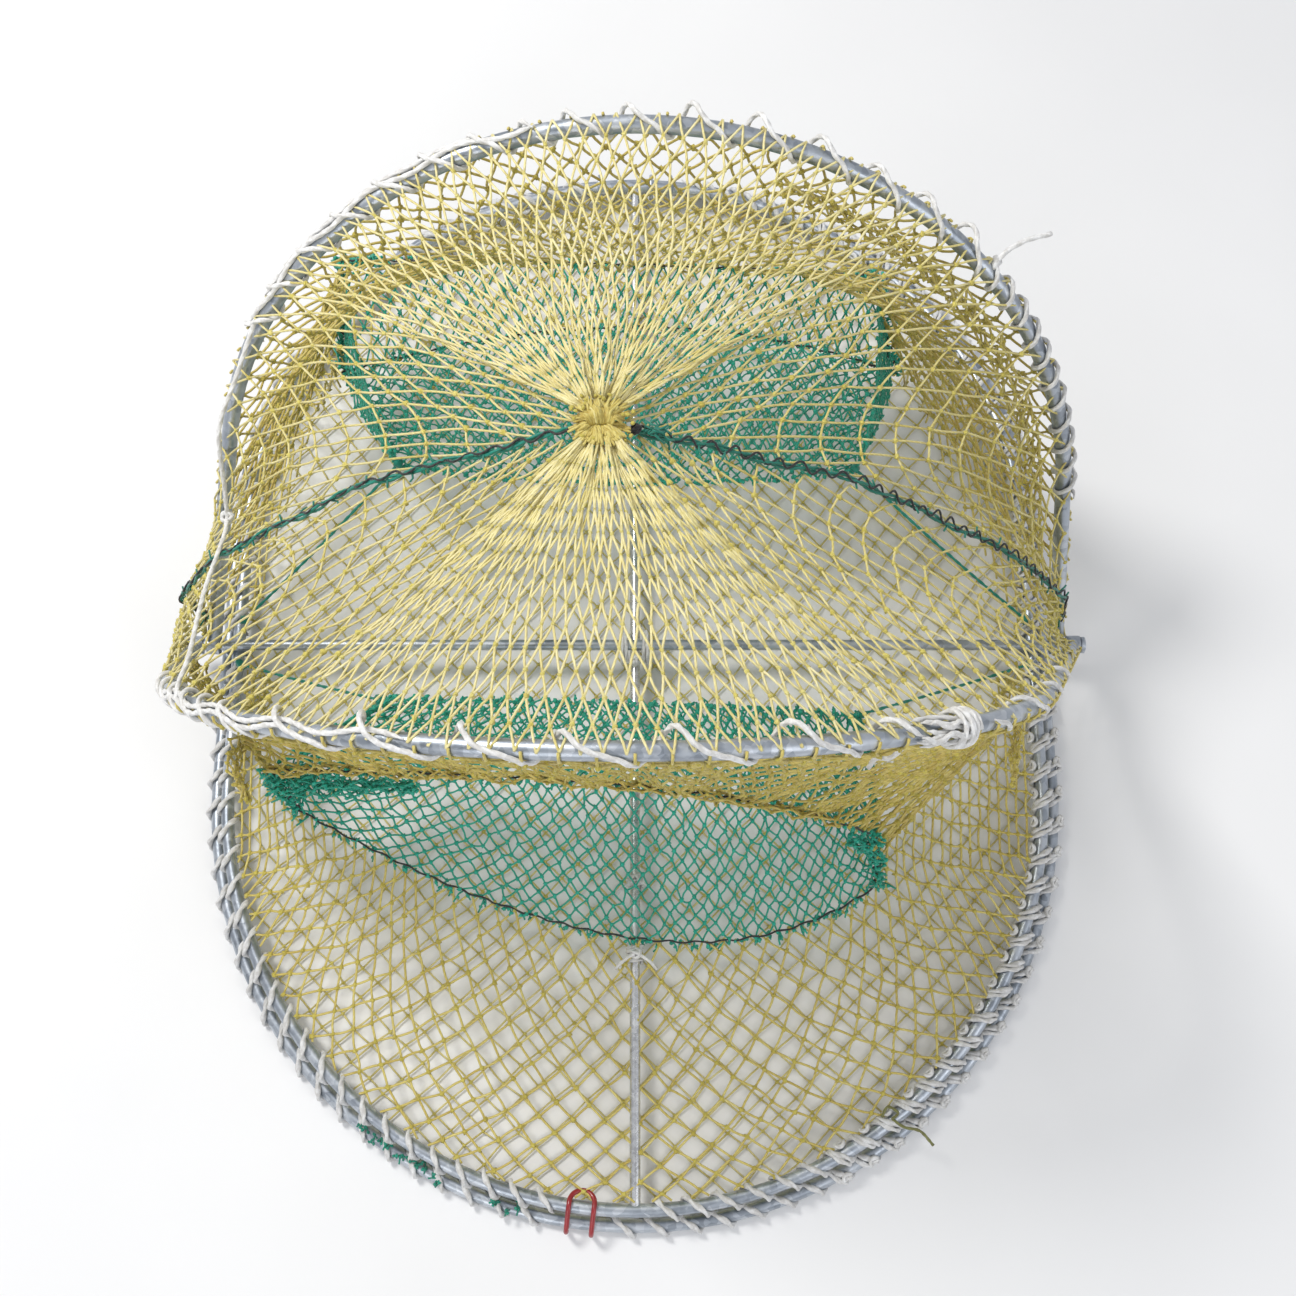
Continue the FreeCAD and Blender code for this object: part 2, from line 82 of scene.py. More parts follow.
class Acc:
    """Collects tubes and knots, then becomes one mesh object."""

    def __init__(self):
        self.v, self.q, self.t, self.thr, self.tone, self.qm, self.tm = [], [], [], [], [], [], []
        self.n = 0

    def add(self, v, quads, tris, thr, tone, mat):
        self.v.append(v.reshape(-1, 3))
        self.thr.append(thr.reshape(-1, 3))
        self.tone.append(np.broadcast_to(tone, (len(v),)).astype(np.float32))
        if len(quads):
            self.q.append(quads + self.n)
            self.qm.append(np.full(len(quads), mat))
        if len(tris):
            self.t.append(tris + self.n)
            self.tm.append(np.full(len(tris), mat))
        self.n += len(v)

    def build(self, name, mats, floor=None):
        v = np.concatenate(self.v) * 0.001
        if floor is not None:
            v[:, 2] = np.maximum(v[:, 2], floor)
        q = np.concatenate(self.q) if self.q else np.zeros((0, 4), int)
        t = np.concatenate(self.t) if self.t else np.zeros((0, 3), int)
        me = bpy.data.meshes.new(name)
        me.vertices.add(len(v))
        me.vertices.foreach_set("co", v.astype(np.float32).ravel())
        loops = np.concatenate([q.ravel(), t.ravel()]).astype(np.int32)
        me.loops.add(len(loops))
        me.loops.foreach_set("vertex_index", loops)
        starts = np.concatenate([np.arange(len(q)) * 4, 4 * len(q) + np.arange(len(t)) * 3]).astype(np.int32)
        me.polygons.add(len(starts))
        me.polygons.foreach_set("loop_start", starts)
        me.polygons.foreach_set("use_smooth", np.ones(len(starts), bool))
        mi = np.concatenate((self.qm or [np.zeros(0)]) + (self.tm or [np.zeros(0)])).astype(np.int32)
        me.polygons.foreach_set("material_index", mi)
        me.update(calc_edges=True)
        a = me.attributes.new("thr", "FLOAT_VECTOR", "POINT")
        a.data.foreach_set("vector", np.concatenate(self.thr).astype(np.float32).ravel())
        a = me.attributes.new("tone", "FLOAT", "POINT")
        a.data.foreach_set("value", np.concatenate(self.tone).astype(np.float32))
        for m in mats:
            me.materials.append(m)
        o = bpy.data.objects.new(name, me)
        bpy.context.scene.collection.objects.link(o)
        return o


def tubes(acc, p, r, sides=5, tone=0.5, mat=0, cap=True):
    """n tubes at once, p is (n, k, 3)."""
    p = np.asarray(p, float)
    if len(p) == 0:
        return
    n, k, _ = p.shape
    d = unit(np.gradient(p, axis=1))
    mean = unit(p[:, -1] - p[:, 0])
    ref = np.where(np.abs(mean[:, 2:3]) < 0.85, np.array([[0, 0, 1.0]]), np.array([[1.0, 0, 0]]))[:, None, :]
    a = unit(ref - (d * ref).sum(-1, keepdims=True) * d)
    b = np.cross(d, a)
    rr = np.broadcast_to(np.asarray(r, float), (n, k)) if np.ndim(r) != 1 else np.broadcast_to(np.asarray(r, float)[:, None], (n, k))
    ang = 2 * np.pi * np.arange(sides) / sides
    co, si = np.cos(ang), np.sin(ang)
    v = p[:, :, None, :] + rr[..., None, None] * (co[None, None, :, None] * a[:, :, None, :] + si[None, None, :, None] * b[:, :, None, :])
    run = np.concatenate([np.zeros((n, 1)), np.cumsum(np.linalg.norm(np.diff(p, axis=1), axis=-1), axis=1)], axis=1)
    thr = np.stack([np.broadcast_to(co, (n, k, sides)), np.broadcast_to(si, (n, k, sides)), np.broadcast_to(run[..., None], (n, k, sides))], -1)
    i, j, c = np.meshgrid(np.arange(n), np.arange(k - 1), np.arange(sides), indexing="ij")
    c2 = (c + 1) % sides
    base = (i * k + j) * sides
    quads = np.stack([base + c, base + c2, base + sides + c2, base + sides + c], -1).reshape(-1, 4)
    tris = []
    if cap:
        first = (np.arange(n) * k) * sides
        last = first + (k - 1) * sides
        for m in range(1, sides - 1):
            tris.append(np.stack([first, first + m + 1, first + m], -1))
            tris.append(np.stack([last, last + m, last + m + 1], -1))
        tris = np.concatenate(tris)
    tone = np.broadcast_to(np.asarray(tone, float), (n,))
    acc.add(v.reshape(-1, 3), quads, tris if cap else [], thr, np.repeat(tone, k * sides), mat)


def ball():
    """A lumpy small ball that stands for a netting knot: two crossing turns of twine."""
    import bmesh
    bm = bmesh.new()
    bmesh.ops.create_icosphere(bm, subdivisions=2, radius=1.0)
    v = np.array([x.co for x in bm.verts])
    f = np.array([[x.index for x in q.verts] for q in bm.faces])
    bm.free()
    return v, f


BALL_V, BALL_F = ball()


def small_ball():
    import bmesh
    bm = bmesh.new()
    bmesh.ops.create_icosphere(bm, subdivisions=1, radius=1.0)
    v = np.array([x.co for x in bm.verts])
    f = np.array([[x.index for x in q.verts] for q in bm.faces])
    bm.free()
    return v, f


SMALL_V, SMALL_F = small_ball()


def knots(acc, p, size, tone=0.5, mat=0, along=None, fine=False):
    """Netting knots at p (n, 3). size is the radius. Each is two crossed lobes, turned its own way."""
    p = np.asarray(p, float)
    n = len(p)
    if n == 0:
        return
    tv, tf = (BALL_V, BALL_F) if fine else (SMALL_V, SMALL_F)
    az = np.arctan2(tv[:, 1], tv[:, 0])
    el = np.arcsin(np.clip(tv[:, 2], -1, 1))
    lobes = 1 + 0.20 * np.cos(2 * az + 3 * el) + 0.10 * np.sin(3 * az - 2 * el)
    shape = tv * lobes[:, None]
    a = unit(np.asarray(along, float) + rng.normal(0, 0.25, (n, 3))) if along is not None else unit(rng.normal(0, 1, (n, 3)))
    b = unit(np.cross(a, rng.normal(0, 1, (n, 3))))
    c = np.cross(a, b)
    s = np.asarray(size, float) * rng.uniform(0.88, 1.12, n)
    v = p[:, None, :] + s[:, None, None] * (1.22 * shape[None, :, 0:1] * a[:, None, :] + 1.0 * shape[None, :, 1:2] * b[:, None, :] + 0.86 * shape[None, :, 2:3] * c[:, None, :])
    thr = np.stack([np.cos(az), np.sin(az), 2.2 * tv[:, 2]], -1)[None].repeat(n, 0)
    tris = (tf[None] + (np.arange(n) * len(tv))[:, None, None]).reshape(-1, 3)
    tone = np.broadcast_to(np.asarray(tone, float), (n,))
    acc.add(v.reshape(-1, 3), [], tris, thr, np.repeat(tone, len(tv)), mat)


def frames(path):
    d = unit(np.gradient(path, axis=0))
    a = np.zeros_like(path)
    ref = np.array([0, 0, 1.0]) if abs(d[0, 2]) < 0.9 else np.array([1.0, 0, 0])
    a[0] = unit(ref - (d[0] @ ref) * d[0])
    for i in range(1, len(path)):
        q = a[i - 1] - (a[i - 1] @ d[i]) * d[i]
        a[i] = q / max(np.linalg.norm(q), 1e-9)
    return d, a, np.cross(d, a)


def rope(acc, path, r, lobes=3, pitch=7.0, ring=12, groove=0.13, tone=0.5, mat=0, taper=0.0):
    """A laid cord along a path: its strands show as lobes that turn along it."""
    path = np.asarray(path, float)
    k = len(path)
    d, a, b = frames(path)
    run = np.concatenate([[0], np.cumsum(np.linalg.norm(np.diff(path, axis=0), axis=1))])
    ang = 2 * np.pi * np.arange(ring) / ring
    twist = 2 * np.pi * run / pitch
    rr = r * (1 - groove + groove * np.cos(lobes * (ang[None, :]) - twist[:, None]))
    if taper > 0:
        end = np.clip(np.minimum(run, run[-1] - run) / taper, 0.35, 1)
        rr = rr * end[:, None]
    v = path[:, None, :] + rr[..., None] * (np.cos(ang)[None, :, None] * a[:, None, :] + np.sin(ang)[None, :, None] * b[:, None, :])
    thr = np.stack([np.broadcast_to(np.cos(ang), (k, ring)), np.broadcast_to(np.sin(ang), (k, ring)), np.broadcast_to(run[:, None], (k, ring))], -1)
    j, c = np.meshgrid(np.arange(k - 1), np.arange(ring), indexing="ij")
    c2 = (c + 1) % ring
    quads = np.stack([j * ring + c, j * ring + c2, (j + 1) * ring + c2, (j + 1) * ring + c], -1).reshape(-1, 4)
    tris = []
    last = (k - 1) * ring
    for m in range(1, ring - 1):
        tris.append([0, m + 1, m])
        tris.append([last, last + m, last + m + 1])
    acc.add(v.reshape(-1, 3), quads, np.array(tris), thr, np.full(k * ring, tone), mat)


def smooth(points, step=1.6, tension=0.5):
    """A smooth path through points, sampled every step millimetres."""
    p = np.asarray(points, float)
    q = np.vstack([2 * p[0] - p[1], p, 2 * p[-1] - p[-2]])
    out = []
    for i in range(1, len(q) - 2):
        n = max(2, int(np.linalg.norm(q[i + 1] - q[i]) / step))
        t = np.arange(n)[:, None] / n
        m0, m1 = (q[i + 1] - q[i - 1]) * tension, (q[i + 2] - q[i]) * tension
        out.append((2 * t**3 - 3 * t**2 + 1) * q[i] + (t**3 - 2 * t**2 + t) * m0 + (-2 * t**3 + 3 * t**2) * q[i + 1] + (t**3 - t**2) * m1)
    out.append(p[-1:])
    return np.vstack(out)


# ---- shapes shared with the CAD model --------------------------------------------------------------
def up(p):
    p = np.array(p, float)
    p[..., 2] += HZ
    return p


def line_at(word, key, t):
    lf, c, r = (np.array(q, float) for q in LINES[word][key])
    t = np.asarray(t, float)[..., None]
    return c + t * (r - lf) / 2 + t * t * ((r + lf) / 2 - c)


def mouth_side(word, sign, f):
    a, b = line_at(word, "sill", sign), line_at(word, "brow", sign)
    return a + np.asarray(f, float)[..., None] * (b - a)


def arch_side(word, sign):
    r, x0 = BEND[word][0 if sign < 0 else 1], SIDE_X[word]
    top = ARCH_LEN - r
    far = math.hypot(x0, top)
    ang = math.acos(r / far) - math.atan2(top, x0)
    return r, top, ang, math.sqrt(far ** 2 - r ** 2)


def arch_total(word):
    return sum(leg + r * (math.pi / 2 - ang) for r, top, ang, leg in (arch_side(word, -1), arch_side(word, 1)))


def arch_at(word, s, out=0.0, off=0.0):
    """A point near an arch's centre line: out is outwards in its plane, off is away from the middle, square to its plane."""
    s = np.asarray(s, float)
    x, h = np.zeros(s.shape), np.zeros(s.shape)
    for sign in (-1, 1):
        r, top, ang, leg = arch_side(word, sign)
        q = (s < 0) if sign < 0 else (s >= 0)
        d = (1 - np.abs(s)) * (leg + r * (math.pi / 2 - ang))
        a = ang + np.maximum(d - leg, 0) / r
        line = d <= leg
        xx = np.where(line, SIDE_X[word] - d * math.sin(ang) + out * math.cos(ang), (r + out) * np.cos(a))
        hh = np.where(line, d * math.cos(ang) + out * math.sin(ang), top + (r + out) * np.sin(a))
        x, h = np.where(q, sign * xx, x), np.where(q, hh, h)
    sg, b = SIDE[word], math.radians(LEAN[word])
    return np.stack([x, h * math.sin(b) + off * sg * math.cos(b), h * math.cos(b) - off * sg * math.sin(b)], -1)


def seam_at(s):
    half = np.array([(0.0, 1.0), (0.15, 0.93), (0.45, 0.785), (0.80, 0.46), (0.955, 0.24), (0.985, 0.10)])
    s = np.asarray(s, float)
    a = np.abs(s) * 5
    u = np.interp(a, np.arange(6), half[:, 0])
    w = np.interp(a, np.arange(6), half[:, 1])
    x = KNOT[0] * (1 - u) + np.where(s > 0, 236.0, -236.0) * u
    p = np.stack([x, KNOT[1] * (0.3 + 0.7 * w), KNOT[2] * w], -1)
    # the left side panel bellies out past the arches
    p[..., 0] -= np.where(s < 0, 13.0 * np.sin(np.pi * np.clip((np.abs(s) - 0.30) / 0.70, 0, 1) ** 1.25) ** 1.3, 0.0)
    return p


def rim_at(s, side, inset, z):
    w, lead = RING_R - inset, 6.0
    total = 2 * (RING_STRAIGHT - lead) + math.pi * w
    d = (np.asarray(s, float) + 1) / 2 * total
    st = RING_STRAIGHT - lead
    a = math.pi - np.clip((d - st) / w, 0, math.pi)
    x = w * np.cos(a)
    y = np.where(d <= st, lead + d, np.where(d >= total - st, lead + total - d, RING_STRAIGHT + w * np.sin(a)))
    return np.stack([x, side * y, np.full_like(x, z)], -1)


def oval(half_w, s):
    """Points and tangents round an oval, anticlockwise from the right side's middle; s in millimetres."""
    st, arc = RING_STRAIGHT, math.pi * half_w
    total = 4 * st + 2 * arc
    s = np.mod(np.asarray(s, float), total)
    out = np.zeros((len(s), 4))
    for i, q in enumerate(s):
        if q < st:
            out[i] = half_w, q, 0, 1
        elif q < st + arc:
            a = (q - st) / half_w
            out[i] = half_w * math.cos(a), st + half_w * math.sin(a), -math.sin(a), math.cos(a)
        elif q < 3 * st + arc:
            out[i] = -half_w, st - (q - st - arc), 0, -1
        elif q < 3 * st + 2 * arc:
            a = math.pi + (q - 3 * st - arc) / half_w
            out[i] = half_w * math.cos(a), -st + half_w * math.sin(a), -math.sin(a), math.cos(a)
        else:
            out[i] = half_w, -st + (q - 3 * st - 2 * arc), 0, 1
    return out, total


# ---- materials ---------------------------------------------------------------------------------------
def material(name, rough, metal=0.0, sheen=0.0, coat=0.0, spec=0.5):
    m = bpy.data.materials.new(name)
    m.use_nodes = True
    nt = m.node_tree
    bsdf = nt.nodes["Principled BSDF"]
    bsdf.inputs["Roughness"].default_value = rough
    bsdf.inputs["Metallic"].default_value = metal
    bsdf.inputs["Sheen Weight"].default_value = sheen
    bsdf.inputs["Coat Weight"].default_value = coat
    bsdf.inputs["Specular IOR Level"].default_value = spec
    return m, nt, bsdf


def node(nt, kind, **inputs):
    n = nt.nodes.new(kind)
    for k, v in inputs.items():
        n.inputs[k].default_value = v
    return n


def math_node(nt, op, a, b=None):
    n = nt.nodes.new("ShaderNodeMath")
    n.operation = op
    for i, q in enumerate((a, b)):
        if q is None:
            continue
        if hasattr(q, "is_output"):
            nt.links.new(q, n.inputs[i])
        else:
            n.inputs[i].default_value = q
    return n.outputs[0]


def ramp(nt, fac, stops):
    n = nt.nodes.new("ShaderNodeValToRGB")
    e = n.color_ramp.elements
    while len(e) < len(stops):
        e.new(0.5)
    for q, (pos, col) in zip(e, stops):
        q.position, q.color = pos, (*col, 1)
    nt.links.new(fac, n.inputs[0])
    return n.outputs[0]


def object_noise(nt, scale, detail=3.0, rough=0.6):
    tc = nt.nodes.new("ShaderNodeTexCoord")
    n = node(nt, "ShaderNodeTexNoise", Scale=scale, Detail=detail, Roughness=rough)
    nt.links.new(tc.outputs["Object"], n.inputs["Vector"])
    return n.outputs["Fac"]


def twine_material(name, stops, plies, pitch, rough, sheen=0.2, depth=0.35, dirt=(0.35, 0.3, 0.2), dirt_amount=0.25, fibre=14.0):
    """Twisted thread: plies wind round it, found from each strand's own round and along values."""
    m, nt, bsdf = material(name, rough, sheen=sheen)
    att = nt.nodes.new("ShaderNodeAttribute")
    att.attribute_name = "thr"
    sep = nt.nodes.new("ShaderNodeSeparateXYZ")
    nt.links.new(att.outputs["Vector"], sep.inputs[0])
    ang = math_node(nt, "ARCTAN2", sep.outputs["Y"], sep.outputs["X"])
    turn = math_node(nt, "MULTIPLY", sep.outputs["Z"], 2 * math.pi / pitch)
    ply = math_node(nt, "COSINE", math_node(nt, "SUBTRACT", math_node(nt, "MULTIPLY", ang, float(plies)), turn))
    hair = math_node(nt, "COSINE", math_node(nt, "ADD", math_node(nt, "MULTIPLY", ang, fibre), math_node(nt, "MULTIPLY", sep.outputs["Z"], 3.1)))
    tone = nt.nodes.new("ShaderNodeAttribute")
    tone.attribute_name = "tone"
    blot = object_noise(nt, 38.0, 4.0)
    f = math_node(nt, "ADD", math_node(nt, "MULTIPLY", tone.outputs["Fac"], 0.75), math_node(nt, "MULTIPLY", blot, 0.30))
    f = math_node(nt, "ADD", f, math_node(nt, "MULTIPLY", ply, 0.07))
    col = ramp(nt, f, stops)
    mix = nt.nodes.new("ShaderNodeMix")
    mix.data_type = "RGBA"
    mix.blend_type = "MULTIPLY"
    grime = ramp(nt, object_noise(nt, 240.0, 5.0, 0.7), [(0.42, dirt), (0.62, (1, 1, 1))])
    mix.inputs[0].default_value = dirt_amount
    nt.links.new(col, mix.inputs[6])
    nt.links.new(grime, mix.inputs[7])
    nt.links.new(mix.outputs[2], bsdf.inputs["Base Color"])
    rg = math_node(nt, "ADD", math_node(nt, "MULTIPLY", blot, 0.25), rough - 0.12)
    nt.links.new(rg, bsdf.inputs["Roughness"])
    bump = node(nt, "ShaderNodeBump", Strength=depth, Distance=0.0004)
    nt.links.new(math_node(nt, "ADD", ply, math_node(nt, "MULTIPLY", hair, 0.3)), bump.inputs["Height"])
    nt.links.new(bump.outputs[0], bsdf.inputs["Normal"])
    return m


YELLOW = twine_material("yellow_twine", [(0.0, (0.40, 0.22, 0.025)), (0.32, (0.52, 0.39, 0.07)), (0.62, (0.70, 0.60, 0.18)), (1.0, (0.94, 0.87, 0.50))], 2, 3.2, 0.42, dirt=(0.62, 0.5, 0.25))
YELLOW_KNOT = twine_material("yellow_knot", [(0.0, (0.36, 0.20, 0.025)), (0.4, (0.52, 0.43, 0.06)), (0.7, (0.72, 0.62, 0.12)), (1.0, (0.86, 0.78, 0.30))], 3, 1.6, 0.48, depth=0.5, dirt=(0.55, 0.45, 0.2))
GREENM = twine_material("green_thread", [(0.0, (0.0, 0.13, 0.085)), (0.45, (0.002, 0.34, 0.225)), (1.0, (0.02, 0.58, 0.42))], 2, 2.2, 0.45, dirt=(0.3, 0.55, 0.45))
WHITE = twine_material("white_cord", [(0.0, (0.36, 0.36, 0.37)), (0.4, (0.62, 0.62, 0.62)), (0.75, (0.82, 0.82, 0.81)), (1.0, (0.93, 0.93, 0.92))], 3, 7.0, 0.50, depth=0.25, dirt=(0.50, 0.47, 0.42), dirt_amount=0.5, fibre=21.0)
BLACK = twine_material("black_thread", [(0.0, (0.004, 0.004, 0.005)), (1.0, (0.03, 0.03, 0.034))], 2, 2.5, 0.5, dirt=(0.7, 0.7, 0.7))
GREENCORD = twine_material("green_cord", [(0.0, (0.0, 0.09, 0.06)), (0.5, (0.0, 0.20, 0.14)), (1.0, (0.015, 0.40, 0.31))], 2, 6.0, 0.4, dirt=(0.3, 0.5, 0.45))
OLIVE = twine_material("olive_twine", [(0.0, (0.07, 0.075, 0.02)), (0.5, (0.17, 0.18, 0.05)), (1.0, (0.32, 0.32, 0.12))], 2, 5.0, 0.6, dirt=(0.5, 0.4, 0.25), dirt_amount=0.5)


def steel(name, dark, mid, light, rough, spangle, streak=True, bloom=0.35):
    m, nt, bsdf = material(name, rough, metal=0.88)
    tc = nt.nodes.new("ShaderNodeTexCoord")
    vor = node(nt, "ShaderNodeTexVoronoi", Scale=spangle)
    nt.links.new(tc.outputs["Object"], vor.inputs["Vector"])
    cell = nt.nodes.new("ShaderNodeSeparateColor")
    nt.links.new(vor.outputs["Color"], cell.inputs[0])
    cloud = object_noise(nt, 22.0, 5.0, 0.65)
    fine = object_noise(nt, 420.0, 4.0, 0.7)
    f = math_node(nt, "ADD", math_node(nt, "MULTIPLY", cell.outputs[0], 0.28), math_node(nt, "MULTIPLY", cloud, 0.75))
    col = ramp(nt, f, [(0.22, dark), (0.5, mid), (0.8, light)])
    mix = nt.nodes.new("ShaderNodeMix")
    mix.data_type = "RGBA"
    spots = ramp(nt, object_noise(nt, 65.0, 6.0, 0.75), [(0.50, (0, 0, 0)), (0.66, (1, 1, 1))])
    nt.links.new(math_node(nt, "MULTIPLY", spots, bloom), mix.inputs[0])
    nt.links.new(col, mix.inputs[6])
    mix.inputs[7].default_value = (0.62, 0.64, 0.66, 1)
    nt.links.new(mix.outputs[2], bsdf.inputs["Base Color"])
    rg = math_node(nt, "ADD", math_node(nt, "MULTIPLY", cloud, 0.30), math_node(nt, "MULTIPLY", spots, 0.25))
    nt.links.new(math_node(nt, "ADD", rg, rough - 0.15), bsdf.inputs["Roughness"])
    bump = node(nt, "ShaderNodeBump", Strength=0.25, Distance=0.0002)
    nt.links.new(math_node(nt, "ADD", fine, math_node(nt, "MULTIPLY", cell.outputs[0], 0.4)), bump.inputs["Height"])
    nt.links.new(bump.outputs[0], bsdf.inputs["Normal"])
    return m


GALV = steel("galvanised_steel", (0.20, 0.225, 0.26), (0.40, 0.44, 0.49), (0.66, 0.69, 0.73), 0.36, 260.0)
BRIGHT = steel("bright_wire", (0.42, 0.42, 0.43), (0.66, 0.67, 0.68), (0.86, 0.86, 0.87), 0.24, 500.0, bloom=0.12)

RED, nt, bsdf = material("red_coated_wire", 0.36, coat=0.35)
wear = ramp(nt, object_noise(nt, 520.0, 5.0, 0.7), [(0.66, (0, 0, 0)), (0.74, (1, 1, 1))])
base = ramp(nt, object_noise(nt, 60.0, 4.0), [(0.3, (0.20, 0.008, 0.012)), (0.7, (0.36, 0.018, 0.022))])
mx = nt.nodes.new("ShaderNodeMix")
mx.data_type = "RGBA"
nt.links.new(math_node(nt, "MULTIPLY", wear, 0.6), mx.inputs[0])
nt.links.new(base, mx.inputs[6])
mx.inputs[7].default_value = (0.14, 0.06, 0.05, 1)
nt.links.new(mx.outputs[2], bsdf.inputs["Base Color"])
bp = node(nt, "ShaderNodeBump", Strength=0.3, Distance=0.0002)
nt.links.new(object_noise(nt, 900.0, 3.0), bp.inputs["Height"])
nt.links.new(bp.outputs[0], bsdf.inputs["Normal"])

# ---- camera, light and floor ---------------------------------------------------------------------------
cam_data = bpy.data.cameras.new("camera")
cam = bpy.data.objects.new("camera", cam_data)
bpy.context.scene.collection.objects.link(cam)
cam.location = (0, -0.2505, 0.863)
cam.rotation_euler = (Vector((0, 0, 0.0226)) - Vector(cam.location)).to_track_quat("-Z", "Y").to_euler()
cam_data.lens, cam_data.sensor_width = 43.33, 36.0
cam_data.shift_x, cam_data.shift_y = 0.0100, -0.0023
cam_data.clip_start = 0.01
bpy.context.scene.camera = cam

world = bpy.data.worlds.new("studio")
world.use_nodes = True
world.node_tree.nodes["Background"].inputs[0].default_value = (0.93, 0.95, 1.0, 1)
world.node_tree.nodes["Background"].inputs[1].default_value = 0.55
bpy.context.scene.world = world
bpy.context.scene.view_settings.view_transform = "Standard"


def area_light(name, at, to, size, power, colour=(1, 1, 1)):
    d = bpy.data.lights.new(name, "AREA")
    d.shape, d.size, d.energy, d.color = "DISK", size, power, colour
    o = bpy.data.objects.new(name, d)
    o.location = at
    o.rotation_euler = (Vector(to) - Vector(at)).to_track_quat("-Z", "Y").to_euler()
    bpy.context.scene.collection.objects.link(o)


area_light("key", (-0.75, 0.55, 1.35), (0, 0, 0.1), 0.40, 17.0, (1.0, 0.985, 0.96))
area_light("fill", (1.1, -0.9, 1.1), (0, 0, 0.1), 1.2, 6.0, (0.95, 0.97, 1.0))
area_light("front", (-0.5, -1.3, 0.8), (0, 0, 0.1), 0.9, 4.0)

bpy.ops.mesh.primitive_plane_add(size=60.0, location=(0, 0, -0.0004))
floor = bpy.context.object
floor.name = "studio_floor"
fm, nt, bsdf = material("pale_floor", 0.85)
nt.links.new(ramp(nt, object_noise(nt, 3.0), [(0.3, (0.80, 0.80, 0.80)), (0.7, (0.84, 0.84, 0.84))]), bsdf.inputs["Base Color"])
floor.data.materials.append(fm)

# ---- carried-over CAD nodes ------------------------------------------------------------------------------
for n, m in {
    "floor_ring": GALV, "body_ring": GALV, "crossbar": GALV, "front_arch": GALV, "back_arch": GALV,
    "hinge_loops": GALV, "long_rod": BRIGHT, "release_clip": RED,
}.items():
    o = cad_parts[n]
    o.data.materials.clear()
    o.data.materials.append(m)


# ---- the soft pieces' transforms are baked; they are not made to follow the fold -------------------------
def rel_mm(o):
    v = np.zeros(len(o.data.vertices) * 3, np.float32)
    o.data.vertices.foreach_get("co", v)
    v = v.reshape(-1, 3).astype(float) * 1000
    v[:, 2] -= HZ
    return v


def set_blend(o):
    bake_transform(o)


def fan_fold(o, word):
    """Bakes the piece's transform into its mesh; each point's share of the arch's angle is worked out but not used, so
    the net is not folded.
    """
    v = rel_mm(o)
    beta = np.degrees(np.arctan2(v[:, 2], SIDE[word] * v[:, 1]))
    beta = np.where(v[:, 2] < 0, 0, beta)
    set_blend(o)


def top_fold(o):
    """Bakes the piece's transform into its mesh; nothing makes the net sink or fold."""
    v = rel_mm(o)
    set_blend(o)


# ---- netting ---------------------------------------------------------------------------------------------
def strands(acc, p0, p1, r, k=4, sag=0.5, wob=0.35, sides=5, tone=0.5, mat=0):
    t = np.linspace(0, 1, k)[None, :, None]
    d = p1 - p0
    ln = np.linalg.norm(d, axis=1)
    off = rng.normal(0, wob, (len(p0), 3))
    off -= unit(d) * (off * unit(d)).sum(1, keepdims=True)
    off[:, 2] -= sag
    off *= np.clip(ln / 10.0, 0.1, 1.3)[:, None]
    p = p0[:, None, :] + d[:, None, :] * t + off[:, None, :] * np.sin(np.pi * t)
    tubes(acc, p, r, sides, tone, mat)


def diamonds(acc, g, r, knot, sides=5, sag=0.5, wob=0.35, tone=0.5, kmat=1, knot_rows=None, jitter=0.6, k=4, fine=False, tone_of=None, knot_scale=None):
    """Knotted netting on a lattice g (columns, rows, 3): a knot at every other point, four strands from each."""
    g = g + rng.normal(0, 1, g.shape) * jitter
    I, J = g.shape[0], g.shape[1]
    i, j = np.meshgrid(np.arange(I), np.arange(J), indexing="ij")
    on = (i + j) % 2 == 0
    for step in (1, -1):
        ok = on & (j < J - 1) & (i + step >= 0) & (i + step < I)
        a, b = i[ok], j[ok]
        tn = tone + rng.normal(0, 0.07, len(a))
        if tone_of is not None:
            tn = tn + tone_of[a, b]
        strands(acc, g[a, b], g[a + step, b + 1], r, k, sag, wob, sides, tn, 0)
    ok = on if knot_rows is None else on & (j >= knot_rows[0]) & (j <= knot_rows[1])
    a, b = i[ok], j[ok]
    tn = tone + rng.normal(0, 0.08, len(a))
    if tone_of is not None:
        tn = tn + tone_of[a, b]
    nxt = g[a, np.minimum(b + 1, J - 1)] - g[a, np.maximum(b - 1, 0)]
    sz = knot if knot_scale is None else knot * knot_scale[a, b]
    knots(acc, g[a, b], sz, tn, kmat, along=unit(nxt + 1e-6), fine=fine)
    return g


def columns(n_left, n_mid, n_right, s_left, s_right, s_end=0.985, crowd=1.3, spread=0.85):
    """Half-column positions along an arch, and where each ends on the seam (0 is in the gather)."""
    s, t = [], []
    for i in range(2 * n_left):
        q = 1 - i / (2 * n_left)
        s.append(-(s_left + (s_end - s_left) * q ** crowd))
        t.append(-q ** spread)
    for i in range(2 * n_mid):
        s.append(-s_left + (s_left + s_right) * i / (2 * n_mid))
        t.append(0.0)
    for i in range(2 * n_right + 1):
        q = i / (2 * n_right)
        s.append(s_right + (s_end - s_right) * q ** crowd)
        t.append(q ** spread)
    return np.array(s), np.array(t)


